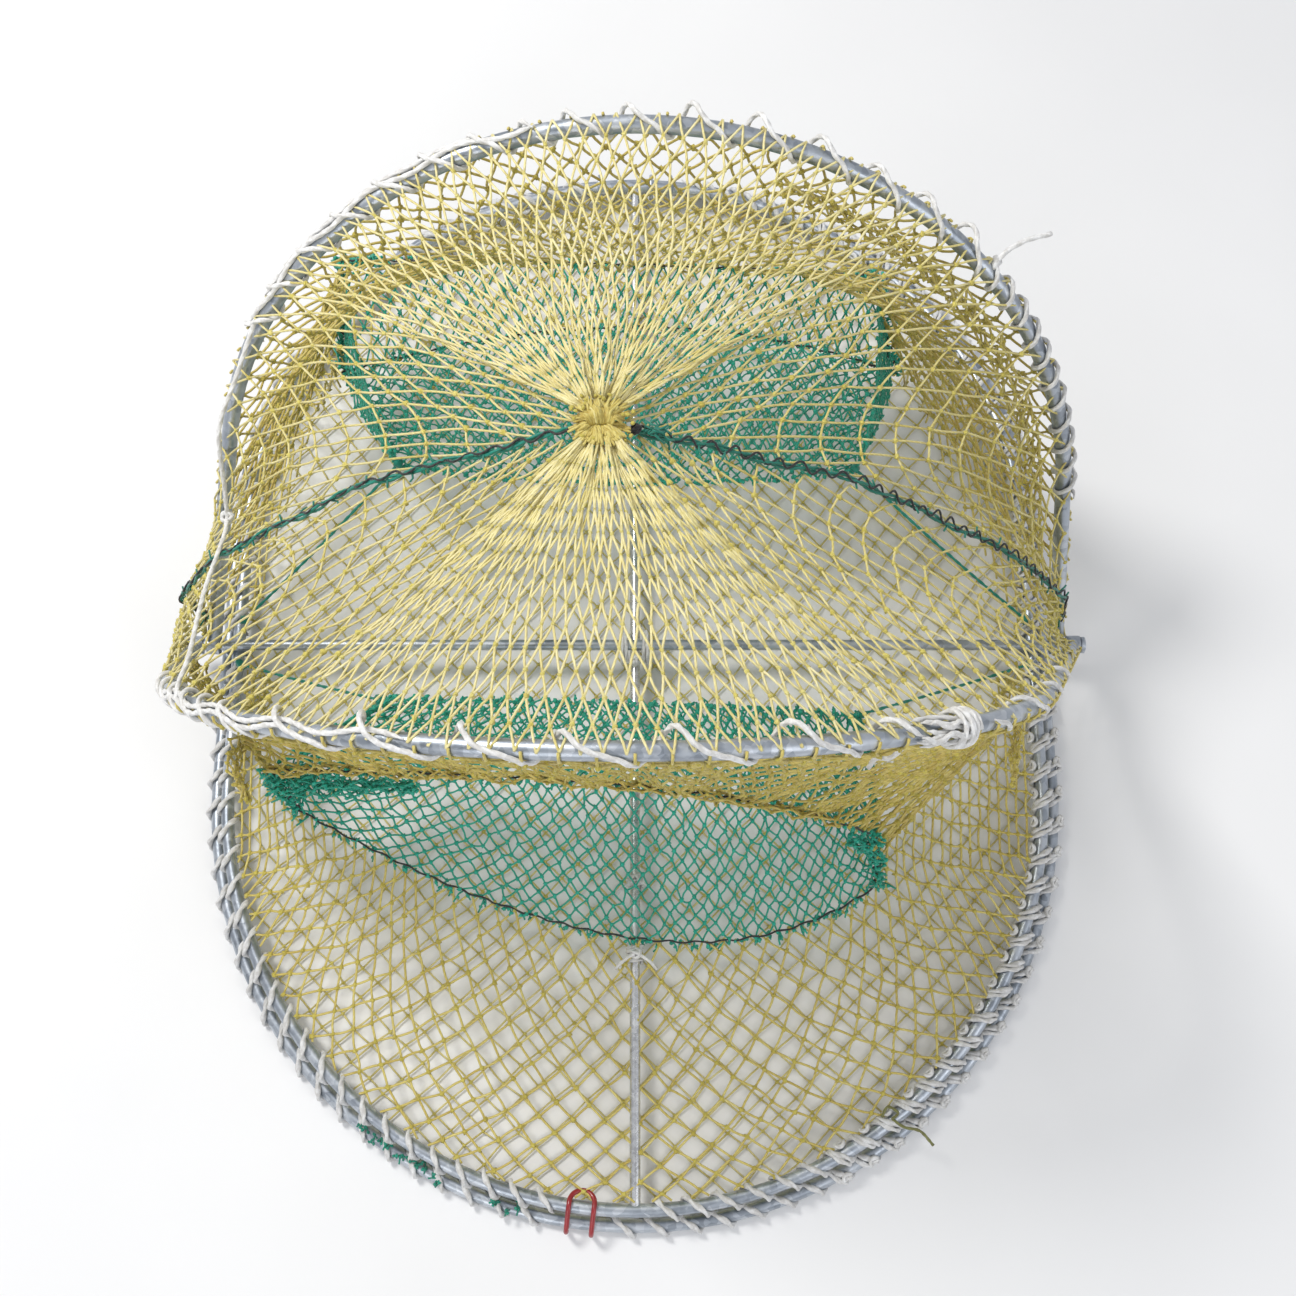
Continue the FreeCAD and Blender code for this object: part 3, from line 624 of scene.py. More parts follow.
def top_net(word):
    s, t = columns(17, 34, 18, 0.37, 0.28, spread=1.25) if word == "front" else columns(15, 36, 16, 0.42, 0.34, spread=1.55)
    J = 14
    top = arch_at(word, s, out=ARCH_ROD + 0.9)
    end = seam_at(t * 0.985)
    end[:, 1] += SIDE[word] * 1.6
    # gathered columns end on a ring round the knot, in pleats
    mid = t == 0
    d = top[mid] - KNOT
    ang = np.arctan2(d[:, 1], d[:, 0])
    pl = ang + 0.045 * np.sin(ang * 13.0) + rng.normal(0, 0.012, len(ang))
    rad = 10.5 + 1.0 * np.sin(ang * 13.0 + 0.7)
    zz = KNOT[2] + 2.2 + 1.2 * np.cos(ang * 13.0)
    end[mid] = np.stack([KNOT[0] + rad * np.cos(pl), KNOT[1] + rad * np.sin(pl), zz], -1)
    # the columns beside the gather run out along the seam from the knot's edge
    near = (~mid) & (np.abs(t) < 0.12)
    end[near] += np.array([0, SIDE[word] * 3.0, 1.0]) * (1 - np.abs(t[near]) / 0.12)[:, None]
    f = np.linspace(0, 1, J) ** 0.98
    g = top[:, None, :] + (end - top)[:, None, :] * f[None, :, None]
    # slack: the open side panels hang in a little, and pleats rise towards the knot
    sway = np.sin(np.pi * f)[None, :]
    out = np.where(mid, 0.0, 1.0)[:, None] * np.clip(np.abs(t) * 3, 0, 1)[:, None]
    inward = unit(np.array([-14.0, 15.0, 120.0]) - g)
    taut = np.where(s < -0.42, -0.25, 1.0)[:, None]
    g += inward * (sway * (2.5 + 6.5 * out) * taut)[..., None]
    pleat = np.zeros(len(s))
    pleat[mid] = np.sin(ang * 13.0)
    g[:, :, 2] += pleat[:, None] * (f[None, :] ** 2) * (1 - f[None, :] * 0.5) * 3.2
    # the gathered columns are lighter, the right-hand columns darker, and knots in the gather shrink towards the knot
    tone_of = np.zeros(g.shape[:2])
    tone_of += np.where(mid, 0.10, 0.0)[:, None] - 0.12 * np.clip((s - 0.25) / 0.5, 0, 1)[:, None]
    size = np.ones(g.shape[:2])
    size *= np.where(mid[:, None], 0.86 - 0.40 * f[None, :], 1)
    acc = Acc()
    gg = diamonds(acc, g, 0.56, 1.42, sides=5, sag=0.15, wob=0.24, tone=0.80, jitter=0.42, tone_of=tone_of, knot_rows=(1, J - 2), knot_scale=size)
    # in the gather the strands rise over its edge and dive into the middle
    p0 = gg[mid][:, -1]
    keep = np.arange(len(p0)) % 2 == 1
    p0, an = p0[keep], pl[keep] + rng.normal(0, 0.03, keep.sum())
    ridge = 3.4 + 2.4 * np.clip(np.cos(an - 2.1), -0.3, 1) + rng.normal(0, 0.5, len(an))
    q1 = np.stack([KNOT[0] + 7.6 * np.cos(an), KNOT[1] + 6.6 * np.sin(an), KNOT[2] + ridge], -1) + rng.normal(0, 0.5, (len(an), 3))
    q2 = np.stack([KNOT[0] + 4.3 * np.cos(an), KNOT[1] + 2.4 * np.sin(an), KNOT[2] + ridge * 0.6], -1) + rng.normal(0, 0.4, (len(an), 3))
    q3 = KNOT + np.array([0, 0, -3.0]) + rng.normal(0, 1.0, (len(an), 3)) * np.array([2.0, 0.7, 1.0])
    paths = np.stack([_sample([a, b, c, d], 9) for a, b, c, d in zip(p0, q1, q2, q3)])
    tubes(acc, paths, 0.6, 5, 0.56 + rng.normal(0, 0.08, len(paths)), 0)
    acc.v = [up(v) for v in acc.v]
    o = acc.build("net_top_" + word, [YELLOW, YELLOW_KNOT])
    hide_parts("top_net_" + word)
    top_fold(o)
    return o, s, t


def _sample(points, n):
    """n points, evenly spread, on a smooth curve through points."""
    p = smooth(points, 0.8)
    run = np.concatenate([[0], np.cumsum(np.linalg.norm(np.diff(p, axis=0), axis=1))])
    at = np.linspace(0, run[-1], n)
    return np.stack([np.interp(at, run, p[:, c]) for c in range(3)], -1)


def crumple(acc, base, across, width, rows, amp, r, knot, tone, mat=0, kmat=1, per=5.5, jitter=1.0, end=1.0):
    """Netting bunched into folds along a line: base (n, 3), across is its sideways direction (n, 3)."""
    run = np.concatenate([[0], np.cumsum(np.linalg.norm(np.diff(base, axis=0), axis=1))])
    n = max(4, int(run[-1] / per) // 2 * 2 + 1)
    at = np.linspace(0, run[-1], n)
    b = np.stack([np.interp(at, run, base[:, k]) for k in range(3)], -1)
    c = unit(np.stack([np.interp(at, run, across[:, k]) for k in range(3)], -1))
    d = unit(np.gradient(b, axis=0))
    m = np.cross(d, c)
    f = np.linspace(-0.5, 0.5, rows)
    w = np.linspace(1, end, n)[:, None, None]
    g = b[:, None, :] + w * c[:, None, :] * (width * f)[None, :, None] + w * m[:, None, :] * (amp * np.sin(f * 2 * math.pi * rows / 4.0))[None, :, None]
    diamonds(acc, g, r, knot, sides=4, sag=0.0, wob=0.5, tone=tone, kmat=kmat, jitter=jitter, k=3)


def ring_side(sign, q):
    """The mouth's outer neighbours on the ring's side, for the folds that hang from the front arch's corner."""
    y = -np.interp(q, [0.5, 0.92], [120.0, 25.0])
    return np.stack([np.full(len(q), sign * 200.0), y, np.full(len(q), 2.0)], -1)


def upper_net(word):
    """From over the arch down to the brow, the sides to the mouth's ends."""
    n = 62
    s = np.linspace(-0.985, 0.985, 2 * n + 1)
    J = 18
    sg = SIDE[word]
    top = arch_at(word, s, out=0.5, off=ARCH_ROD + 0.9)
    low = np.zeros((len(s), 3))
    m = np.abs(s) <= 0.8
    low[m] = line_at(word, "brow", s[m] / 0.8)
    for sign in (-1, 1):
        q = (~m) & (np.sign(s) == sign)
        low[q] = mouth_side(word, sign, 1 - (np.abs(s[q]) - 0.8) / 0.185 * 0.5)
    f = np.linspace(0, 1, J)
    g = top[:, None, :] + (low - top)[:, None, :] * f[None, :, None]
    sway = np.sin(np.pi * f)[None, :, None]
    g[:, :, 1:2] -= sg * sway * 7.0 * (1 - np.abs(s))[:, None, None]
    fold = np.sin(s * 31.0)[:, None] * (f[None, :] ** 1.5)
    g[:, :, 1] += sg * fold * 1.8
    acc = Acc()
    tone_of = -0.10 * np.clip(np.abs(s) * 1.4 - 0.4, 0, 1)[:, None] * np.ones((1, J))
    gg = diamonds(acc, g, TWINE, 1.6, sides=5, sag=0.35, tone=0.46, jitter=0.7, tone_of=tone_of)
    # the net is folded double along the brow, and on the right inside the back arch
    if word == "front":
        q = np.linspace(-1.0, 0.75, 60)
        crumple(acc, line_at(word, "brow", q) + np.array([0, -1.0, 2.0]), np.tile([0, -0.5, 0.9], (60, 1)), 8.0, 6, 2.3, 0.62, 1.2, 0.40)
        for sign, lo, hi in ((-1, 0.50, 0.92), (1, 0.55, 0.92)):
            q = np.linspace(hi, lo, 30)
            a, b = arch_at(word, sign * q, out=-8.0, off=2.0), ring_side(sign, q)
            mid_line = a * 0.45 + b * 0.55
            mid_line[:, 0] = np.sign(mid_line[:, 0]) * np.minimum(np.abs(mid_line[:, 0]), 203.0)
            crumple(acc, mid_line, np.tile([sign * 0.15, 0, 1.0], (30, 1)), 34.0, 9, 3.0, 0.62, 1.3, 0.50, end=0.2)
    else:
        q = np.linspace(0.16, 0.86, 60)
        base = arch_at(word, q, out=-17.0, off=-4.0)
        crumple(acc, base, arch_at(word, q, out=-27.0, off=2.0) - base, 13.0, 10, 3.2, 0.60, 1.25, 0.60, jitter=1.0)
    # meshes carried over the rod to the top net
    idx = np.arange(0, len(s), 2)
    a = np.radians(np.array([90, 62, 34, 8]))
    arcs = np.stack([arch_at(word, s[idx], out=(ARCH_ROD + 0.95) * math.sin(q), off=(ARCH_ROD + 0.95) * math.cos(q)) for q in a], 1)
    arcs[:, -1] = gg[idx, 0]
    tubes(acc, arcs, TWINE, 5, 0.52, 0)
    acc.v = [up(v) for v in acc.v]
    o = acc.build("net_upper_" + word, [YELLOW, YELLOW_KNOT])
    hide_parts(word + "_upper_net")
    fan_fold(o, word)


# ---- lower nets: an even mesh laid over each end of the ring, cut at its edges -----------------------------
def region(word):
    sg = SIDE[word]
    t = np.linspace(-1, 1, 49)
    a = rim_at(t, sg, RING_ROD + 0.6, RING_Z - HZ + 2.6)
    b = np.zeros_like(a)
    m = np.abs(t) <= 0.75
    b[m] = line_at(word, "sill", t[m] / 0.75)
    for sign in (-1, 1):
        q = (~m) & (np.sign(t) == sign)
        b[q] = mouth_side(word, sign, (np.abs(t[q]) - 0.75) / 0.25 * 0.5)
    k = np.linspace(0, 1, 9)
    g = a[:, None, :] + (b - a)[:, None, :] * k[None, :, None]
    g[:, :, 2] -= np.sin(np.pi * k)[None, :] * 3.2
    return g


class Ground:
    """Height over the plan of a grid of points, and whether a point is inside it."""

    def __init__(self, g):
        tr = []
        for i in range(g.shape[0] - 1):
            for j in range(g.shape[1] - 1):
                tr.append((g[i, j], g[i + 1, j], g[i + 1, j + 1]))
                tr.append((g[i, j], g[i + 1, j + 1], g[i, j + 1]))
        self.t = np.array(tr)

    def z(self, xy):
        out = np.full(len(xy), np.nan)
        a, b, c = self.t[:, 0], self.t[:, 1], self.t[:, 2]
        det = (b[:, 0] - a[:, 0]) * (c[:, 1] - a[:, 1]) - (c[:, 0] - a[:, 0]) * (b[:, 1] - a[:, 1])
        good = np.abs(det) > 1e-6
        a, b, c, det = a[good], b[good], c[good], det[good]
        for lo in range(0, len(xy), 1500):
            p = xy[lo:lo + 1500]
            dx, dy = p[:, None, 0] - a[None, :, 0], p[:, None, 1] - a[None, :, 1]
            u = (dx * (c[:, 1] - a[:, 1]) - (c[:, 0] - a[:, 0]) * dy) / det
            v = ((b[:, 0] - a[:, 0]) * dy - dx * (b[:, 1] - a[:, 1])) / det
            ok = (u >= -1e-6) & (v >= -1e-6) & (u + v <= 1 + 1e-6)
            hit = ok.any(1)
            w = ok.argmax(1)
            zz = a[w, 2] + u[np.arange(len(p)), w] * (b[w, 2] - a[w, 2]) + v[np.arange(len(p)), w] * (c[w, 2] - a[w, 2])
            out[lo:lo + 1500] = np.where(hit, zz, np.nan)
        return out


def cut_net(acc, ground, lattice, r, knot, tone, sides=5, k=4, sag=0.4, wob=0.3, edge_tone=0.0):
    """Strands and knots of a plan lattice (n, m, 2) that lie inside ground, each strand cut where it leaves."""
    n, m, _ = lattice.shape
    z = ground.z(lattice.reshape(-1, 2)).reshape(n, m)
    for di, dj in ((1, 0), (0, 1)):
        i, j = np.meshgrid(np.arange(n - di), np.arange(m - dj), indexing="ij")
        i, j = i.ravel(), j.ravel()
        za, zb = z[i, j], z[i + di, j + dj]
        a, b = lattice[i, j], lattice[i + di, j + dj]
        both = ~np.isnan(za) & ~np.isnan(zb)
        one = np.isnan(za) ^ np.isnan(zb)
        pa = np.concatenate([a[both], za[both][:, None]], 1)
        pb = np.concatenate([b[both], zb[both][:, None]], 1)
        strands(acc, pa, pb, r, k, sag, wob, sides, tone + rng.normal(0, 0.07, len(pa)), 0)
        if one.any():
            ins = np.where(np.isnan(za)[:, None], b, a)[one]
            outs = np.where(np.isnan(za)[:, None], a, b)[one]
            zi = np.where(np.isnan(za), zb, za)[one]
            lo, hi = np.zeros(len(ins)), np.ones(len(ins))
            for _ in range(9):
                mid = (lo + hi) / 2
                q = ins + (outs - ins) * mid[:, None]
                bad = np.isnan(ground.z(q))
                hi, lo = np.where(bad, mid, hi), np.where(bad, lo, mid)
            q = ins + (outs - ins) * lo[:, None]
            zq = ground.z(q)
            good = ~np.isnan(zq) & (lo > 0.06)
            strands(acc, np.concatenate([ins, zi[:, None]], 1)[good], np.concatenate([q, zq[:, None]], 1)[good], r, 3, 0, 0.15, sides, tone + edge_tone, 0)
    ok = ~np.isnan(z)
    p = np.concatenate([lattice[ok], z[ok][:, None]], 1)
    knots(acc, p, knot, tone + rng.normal(0, 0.07, len(p)), 1)


def even_mesh(bar, centre, mid_angle, rate, lo, hi, n, flip=1.0):
    """A net of equal bars whose two families of strands turn slowly from side to side."""
    q = np.arange(-n, n + 1)
    al = np.radians(np.clip(mid_angle + rate * (q[:-1] + 0.5), lo, hi))
    be = np.radians(np.clip(180 - mid_angle - rate * (q[:-1] + 0.5), 180 - hi, 180 - lo))
    A = np.concatenate([[[0, 0]], np.cumsum(np.stack([np.cos(al), np.sin(al)], -1), 0)]) * bar
    B = np.concatenate([[[0, 0]], np.cumsum(np.stack([np.cos(be), np.sin(be)], -1), 0)]) * bar
    A -= A[n]
    B -= B[n]
    g = A[:, None, :] + B[None, :, :]
    g[..., 1] *= flip
    return g + np.array(centre)


def lower_net(word):
    g = region(word)
    ground = Ground(g)
    sg = SIDE[word]
    lat = even_mesh(11.8, (-6.0, -214.0), 50.0, 3.3, 4.0, 86.0, 52)
    if word == "back":
        lat = lat * np.array([1, -1])
    lat = lat + rng.normal(0, 0.55, lat.shape)
    ax = np.abs(lat[..., 0])
    tight = 115 + (ax - 115) * 0.46
    wy = np.clip((235 - np.abs(lat[..., 1])) / 110, 0, 1)
    lat[..., 0] = np.sign(lat[..., 0]) * np.where(ax > 115, ax * (1 - wy) + tight * wy, ax)
    acc = Acc()
    cut_net(acc, ground, lat, 0.66, 1.48, 0.50, sides=5)
    if word == "front":
        # a cut end of twine that ties the net to the ring
        e = np.array([133.0, -255.0, RING_Z - HZ + 5.0])
        rope(acc, smooth([e, e + [6, -4, 2.0], e + [14, -6, 2.5], e + [21, -13, -1.0]], 1.0), 0.9, lobes=2, pitch=4.0, ring=7, tone=0.6, mat=2)
        rope(acc, smooth([e, e + [3, 3, 2.5], e + [-2, 6, 1.5], e + [-5, 1, -1.0]], 1.0), 0.9, lobes=2, pitch=4.0, ring=7, tone=0.6, mat=2)
    acc.v = [up(v) for v in acc.v]
    o = acc.build("net_lower_" + word, [YELLOW, YELLOW_KNOT, OLIVE])
    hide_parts(word + "_lower_net")
    fan_fold(o, word)


def floor_net():
    w = FLOOR_R - RING_ROD - 0.3
    t = np.linspace(0, 2 * math.pi, 97)
    edge = np.stack([w * np.cos(t), np.sign(np.sin(t)) * RING_STRAIGHT * (np.abs(np.sin(t)) > 1e-6) + w * np.sin(t)], -1)
    k = np.linspace(0, 1, 3)
    g = edge[:, None, :] * k[None, :, None]
    g = np.concatenate([g, np.full(g.shape[:2] + (1,), 1.55)], -1)
    ground = Ground(g)
    lat = even_mesh(12.2, (3.0, 2.0), 47.0, 0.35, 30.0, 62.0, 46)
    lat = lat + rng.normal(0, 0.6, lat.shape)
    acc = Acc()
    cut_net(acc, ground, lat, 0.52, 1.12, 0.74, sides=4, k=3, sag=0.0, wob=0.12)
    # scraps of green netting left under the lashing, between the two rings at the left
    for lo, hi, n in ((232.0, 244.0, 13), (251.0, 255.0, 4)):
        an = np.radians(np.linspace(lo, hi, n))
        base = np.stack([(FLOOR_R - 1.0) * np.cos(an), -RING_STRAIGHT + (FLOOR_R - 1.0) * np.sin(an), np.full(n, 9.2)], -1)
        base += rng.normal(0, 1.0, base.shape) * np.array([1, 1, 0.5])
        for q in range(3):
            tip = base + np.stack([np.cos(an), np.sin(an), np.zeros(n)], -1) * rng.uniform(0.5, 2.6, (n, 1)) + rng.normal(0, 1.4, base.shape) * np.array([1, 1, 0.6])
            mid = (base + tip) / 2 + rng.normal(0, 1.2, base.shape) * np.array([1, 1, 0.6])
            tubes(acc, np.stack([base, mid, tip], 1), GREEN, 4, 0.12 + rng.normal(0, 0.10, n), 2)
            knots(acc, mid, 1.0, 0.12 + rng.normal(0, 0.08, n), 2)
    o = acc.build("net_floor", [YELLOW, YELLOW_KNOT, GREENM], floor=0.00015)
    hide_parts("floor_net")
    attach(o, "floor_frame")


# ---- green funnels -------------------------------------------------------------------------------------------
def ragged(acc, pts, n, size=4.5, tone=0.5, down=(0, 0, -1), spread=1.0):
    """Cut ends and knots of the green netting that stick out past a seam."""
    run = _sample(pts, n)
    d = unit(np.gradient(run, axis=0))
    for q in range(2):
        tip = run + (np.array(down) + rng.normal(0, 0.5 * spread, run.shape)) * size * rng.uniform(0.5, 1.2, (n, 1)) + d * rng.normal(0, 2.0, (n, 1))
        mid = (run + tip) / 2 + rng.normal(0, 0.8, run.shape)
        tubes(acc, np.stack([run, mid, tip], 1), GREEN, 4, tone + rng.normal(0, 0.12, n), 0)
        knots(acc, tip * 0.6 + run * 0.4, 1.15, tone + rng.normal(0, 0.1, n), 0)


def funnel(word):
    sg = SIDE[word]
    n, J = 40, 26
    t = np.linspace(-1, 1, 2 * n + 1)
    f = np.linspace(0, 1, J)
    a, b = line_at(word, "sill", t), line_at(word, "lip", t)
    g = a[:, None, :] + (b - a)[:, None, :] * f[None, :, None]
    g[:, :, 2] -= np.sin(np.pi * f)[None, :] * 5.0
    g[:, :, 2] += np.sin(t * 17.0)[:, None] * np.sin(np.pi * f)[None, :] * 1.2
    acc = Acc()
    diamonds(acc, g, GREEN, 1.28, sides=4, sag=0.1, wob=0.35, tone=0.58, kmat=0, jitter=0.7, k=3)
    # a thicker, crumpled selvedge at the inner end and where the corners are bunched
    for e, reach in ((-1, 0.34 if word == "front" else 0.12), (1, 0.16 if word == "front" else 0.10)):
        q = np.linspace(0, reach, 12)
        base = line_at(word, "brow", e * (1 - q)) + np.array([0, sg * 5.0, -7.0])
        for lay in range(2):
            crumple(acc, base + np.array([0, sg * 2.0 * lay, -3.0 * lay]), np.tile([0.1, sg * 0.9, -0.5], (12, 1)), 10.0, 7, 2.6, GREEN, 1.15, 0.55, kmat=0, per=3.2, jitter=1.2, end=0.15)
        q = np.linspace(0, 1, 8)
        side = mouth_side(word, e, q)
        crumple(acc, side, np.tile([e * 1.0, 0.2, 0.3], (8, 1)), 9.0, 5, 2.4, GREEN, 1.1, 0.5, kmat=0, per=3.4, jitter=1.5)
    sill = line_at(word, "sill", np.linspace(-1, 1, 41))
    ragged(acc, sill, 58, 4.2, 0.55, (0, sg * 0.9, -0.35))
    ragged(acc, line_at(word, "lip", np.linspace(-1, 1, 31)), 60, 3.0, 0.5, (0, -sg * 0.5, 0.6))
    acc.v = [up(v) for v in acc.v]
    o = acc.build("funnel_ramp_" + word, [GREENM])
    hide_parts(word + "_funnel_ramp")
    fan_fold(o, word)

    # roof, with both side gussets
    acc = Acc()
    n, J = 38, 16
    t = np.linspace(-1, 1, 2 * n + 1)
    f = np.linspace(0, 1, J)
    a, b = line_at(word, "brow", t), line_at(word, "roof", t)
    g = a[:, None, :] + (b - a)[:, None, :] * f[None, :, None]
    g[:, :, 2] -= np.sin(np.pi * f)[None, :] * 3.0
    diamonds(acc, g, GREEN, 1.28, sides=4, sag=0.1, wob=0.3, tone=0.50, kmat=0, jitter=0.5, k=3)
    for sign in (-1, 1):
        q = np.linspace(0, 1, 15)
        a = mouth_side(word, sign, q)
        b = line_at(word, "lip", sign) + q[:, None] * (line_at(word, "roof", sign) - line_at(word, "lip", sign))
        f = np.linspace(0, 1, 18)
        g = a[:, None, :] + (b - a)[:, None, :] * f[None, :, None]
        g[:, :, 0] += sign * np.sin(np.pi * f)[None, :] * 4.0
        diamonds(acc, g, GREEN, 1.28, sides=4, sag=0.1, wob=0.3, tone=0.50, kmat=0, jitter=0.6, k=3)
        ragged(acc, mouth_side(word, sign, np.linspace(0, 1, 9)), 16, 5.0, 0.5, (sign * 1.0, sg * 0.4, 0))
    ragged(acc, line_at(word, "brow", np.linspace(-1, 1, 41)), 44, 3.4, 0.5, (0, sg * 0.9, 0.1))
    acc.v = [up(v) for v in acc.v]
    o = acc.build("funnel_roof_" + word, [GREENM])
    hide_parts(word + "_funnel_roof")
    fan_fold(o, word)

    # black thread sewn along the sill and the brow: it goes over and under the meshes
    acc = Acc()
    for key, e0, e1, off in (("sill", -1, 1, 1.0), ("brow", -1, 1, 1.2)):
        p = _sample(line_at(word, key, np.linspace(e0, e1, 61)), 150)
        wv = np.arange(150)
        p[:, 2] += off + 0.5 * np.sin(wv * 1.9)
        p[:, 1] += sg * (0.5 + 0.6 * np.cos(wv * 0.95))
        rope(acc, smooth(p[::2], 1.5), 0.62, lobes=2, pitch=2.6, ring=6, tone=0.45)
    for sign in (-1, 1):
        p = _sample(mouth_side(word, sign, np.linspace(0, 1, 9)), 16)
        p[:, 0] += sign * 2.2 * np.where(np.arange(16) % 2 == 0, 1, -1)
        rope(acc, smooth(p, 1.5), 0.62, lobes=2, pitch=2.6, ring=6, tone=0.45)
    acc.v = [up(v) for v in acc.v]
    o = acc.build("thread_mouth_" + word, [BLACK])
    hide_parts(word + "_sill_thread")
    fan_fold(o, word)

    # green cords that hold the inner corners out to the hinges
    acc = Acc()
    for e in (-1, 1):
        a = line_at(word, "lip", e) + np.array([0, 0, 4.0])
        b = np.array([e * 219.0, sg * 13.0, 6.0])
        q = np.linspace(0, 1, 8)[:, None]
        p = a + (b - a) * q
        p[:, 2] -= np.sin(np.pi * q[:, 0]) * 3.0
        rope(acc, smooth(p, 1.6), 0.95, lobes=2, pitch=6.0, ring=8, groove=0.2, tone=0.7)
        knots(acc, [a, b], 2.6, 0.6, 0, fine=True)
    acc.v = [up(v) for v in acc.v]
    o = acc.build("stays_" + word, [GREENCORD])
    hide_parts(word + "_funnel_stays")
    fan_fold(o, word)

    # white cord that ties the sill to the long rod
    acc = Acc()
    y = LINES[word]["sill"][1][1]
    tie_on_rod(acc, y, sg, 4)
    o = acc.build("tie_sill_" + word, [WHITE])
    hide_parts(word + "_sill_tie")
    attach(o, "body_frame")


def tie_on_rod(acc, y, sg, turns, r=1.15):
    """A few turns of cord round the long rod with a knot on top and two short ends."""
    a = np.linspace(0, 2 * math.pi * turns, 26 * turns)
    rad = LONG_ROD + r * 0.95
    wob = 0.35 * np.sin(a * 0.7)
    p = np.stack([rad * np.cos(a) * (1 + 0.05 * wob), y + sg * (4.0 + a / (2 * math.pi) * 2.3 + wob), RING_Z + rad * np.sin(a)], -1)
    rope(acc, p, r, pitch=6.5, ring=9, tone=0.66)
    c = np.array([0.6, y + sg * (4.5 + turns), RING_Z + rad + 2.2])
    for q in range(3):
        an = np.linspace(0, 2 * math.pi, 22)
        ax = rng.normal(0, 1, 3)
        u = unit(np.cross(ax, [0, 0, 1.0]))
        v = unit(np.cross(ax, u))
        rope(acc, c + 2.3 * (np.cos(an)[:, None] * u + np.sin(an)[:, None] * v), r * 0.95, pitch=6.5, ring=9, tone=0.7)
    for e in (-1, 1):
        rope(acc, smooth([c, c + [e * 4, sg * 2, 1.5], c + [e * 8, sg * 5, 0.2], c + [e * 11, sg * 8, -2.0]], 1.2), r * 0.9, pitch=6.5, ring=9, tone=0.72)


# ---- lashings ---------------------------------------------------------------------------------------------------
def stretches(flag, least):
    """Slices over which flag holds for at least so many samples."""
    edges = np.flatnonzero(np.diff(np.r_[0, flag.astype(int), 0]))
    return [slice(a, b) for a, b in zip(edges[::2], edges[1::2]) if b - a >= least]


def lay(acc, cen, out, th, rad, r, tone, step=1.7):
    p = cen + np.broadcast_to(rad, (len(cen),))[:, None] * (np.cos(th)[:, None] * out + np.sin(th)[:, None] * np.array([0, 0, 1.0]))
    ln = np.concatenate([[0], np.cumsum(np.linalg.norm(np.diff(p, axis=0), axis=1))])
    at = np.arange(0, ln[-1], step)
    rope(acc, np.stack([np.interp(at, ln, p[:, k]) for k in range(3)], -1), r, lobes=2, pitch=9.0, ring=9, groove=0.24, tone=tone, taper=6.0)


def ring_lashing(name, node_name, body, half_w, z, pitch, gaps, floor_at=None, phase=0.0):
    """White cord wound round a ring: neat turns on the left, bulky doubled turns on the right."""
    _, total = oval(half_w, [0.0])
    step = 1.5
    s = np.arange(0, total, step)
    c, _ = oval(half_w, s)
    free = np.ones(len(s), bool)
    for gx, gy, gr in gaps:
        free &= np.hypot(c[:, 0] - gx, c[:, 1] - gy) > gr
    acc = Acc()
    start = None
    runs = []
    for i in range(len(s)):
        if free[i] and start is None:
            start = i
        if (not free[i] or i == len(s) - 1) and start is not None:
            if i - start > 12:
                runs.append((start, i))
            start = None
    for a, b in runs:
        seg = np.arange(s[a], s[b - 1], 0.5)
        q, _ = oval(half_w, seg)
        out = np.stack([q[:, 3], -q[:, 2], np.zeros(len(q))], -1)
        cen = np.stack([q[:, 0], q[:, 1], np.full(len(q), z)], -1)
        right = np.clip((q[:, 0] - 70) / 60, 0, 1)
        # the cord crosses the top on a long slant, from the inner side to the outer, and comes back quickly below
        th0 = 2 * math.pi * seg / pitch + 0.45 * np.sin(seg / 47.0) + phase
        psi = th0 - (0.62 - 0.25 * right) * np.sin(th0)
        rad = RING_ROD + 1.45 + 0.15 * np.sin(seg / 9.0)
        lay(acc, cen, out, math.pi / 2 - psi, rad, 1.72, 0.60)
        for side_run in stretches(right > 0.5, 60):
            c = side_run
            psi2 = th0[c] - 0.35 * np.sin(th0[c]) + 1.05 + 0.25 * np.sin(seg[c] / 19.0)
            lay(acc, cen[c], out[c], math.pi / 2 - psi2, RING_ROD + 1.6 + 0.5 * np.cos(seg[c] / 5.3), 1.55, 0.68)
            # a hitch sits on each of these turns
            inner = math.radians(150 if floor_at is None else 60)
            hit = np.flatnonzero(np.diff(np.floor((th0[c] - 1.1) / (2 * math.pi))))
            for h in hit:
                i = c.start + h
                if floor_at is not None and abs(q[i, 1]) < 40:
                    continue
                g = cen[i] + (RING_ROD + 2.6) * (math.cos(inner) * out[i] + math.sin(inner) * np.array([0, 0, 1.0]))
                tg = np.array([q[i, 2], q[i, 3], 0.0])
                nn = unit(g - cen[i])
                an = np.linspace(0, 2 * math.pi, 16)
                rope(acc, g + 2.3 * np.cos(an)[:, None] * tg + 1.3 * np.sin(an)[:, None] * np.cross(tg, nn) + 0.5 * np.cos(2 * an)[:, None] * nn, 1.3, lobes=2, pitch=8.0, ring=8, groove=0.2, tone=0.72)
    o = acc.build(name, [WHITE], floor=floor_at)
    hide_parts(node_name)
    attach(o, body)


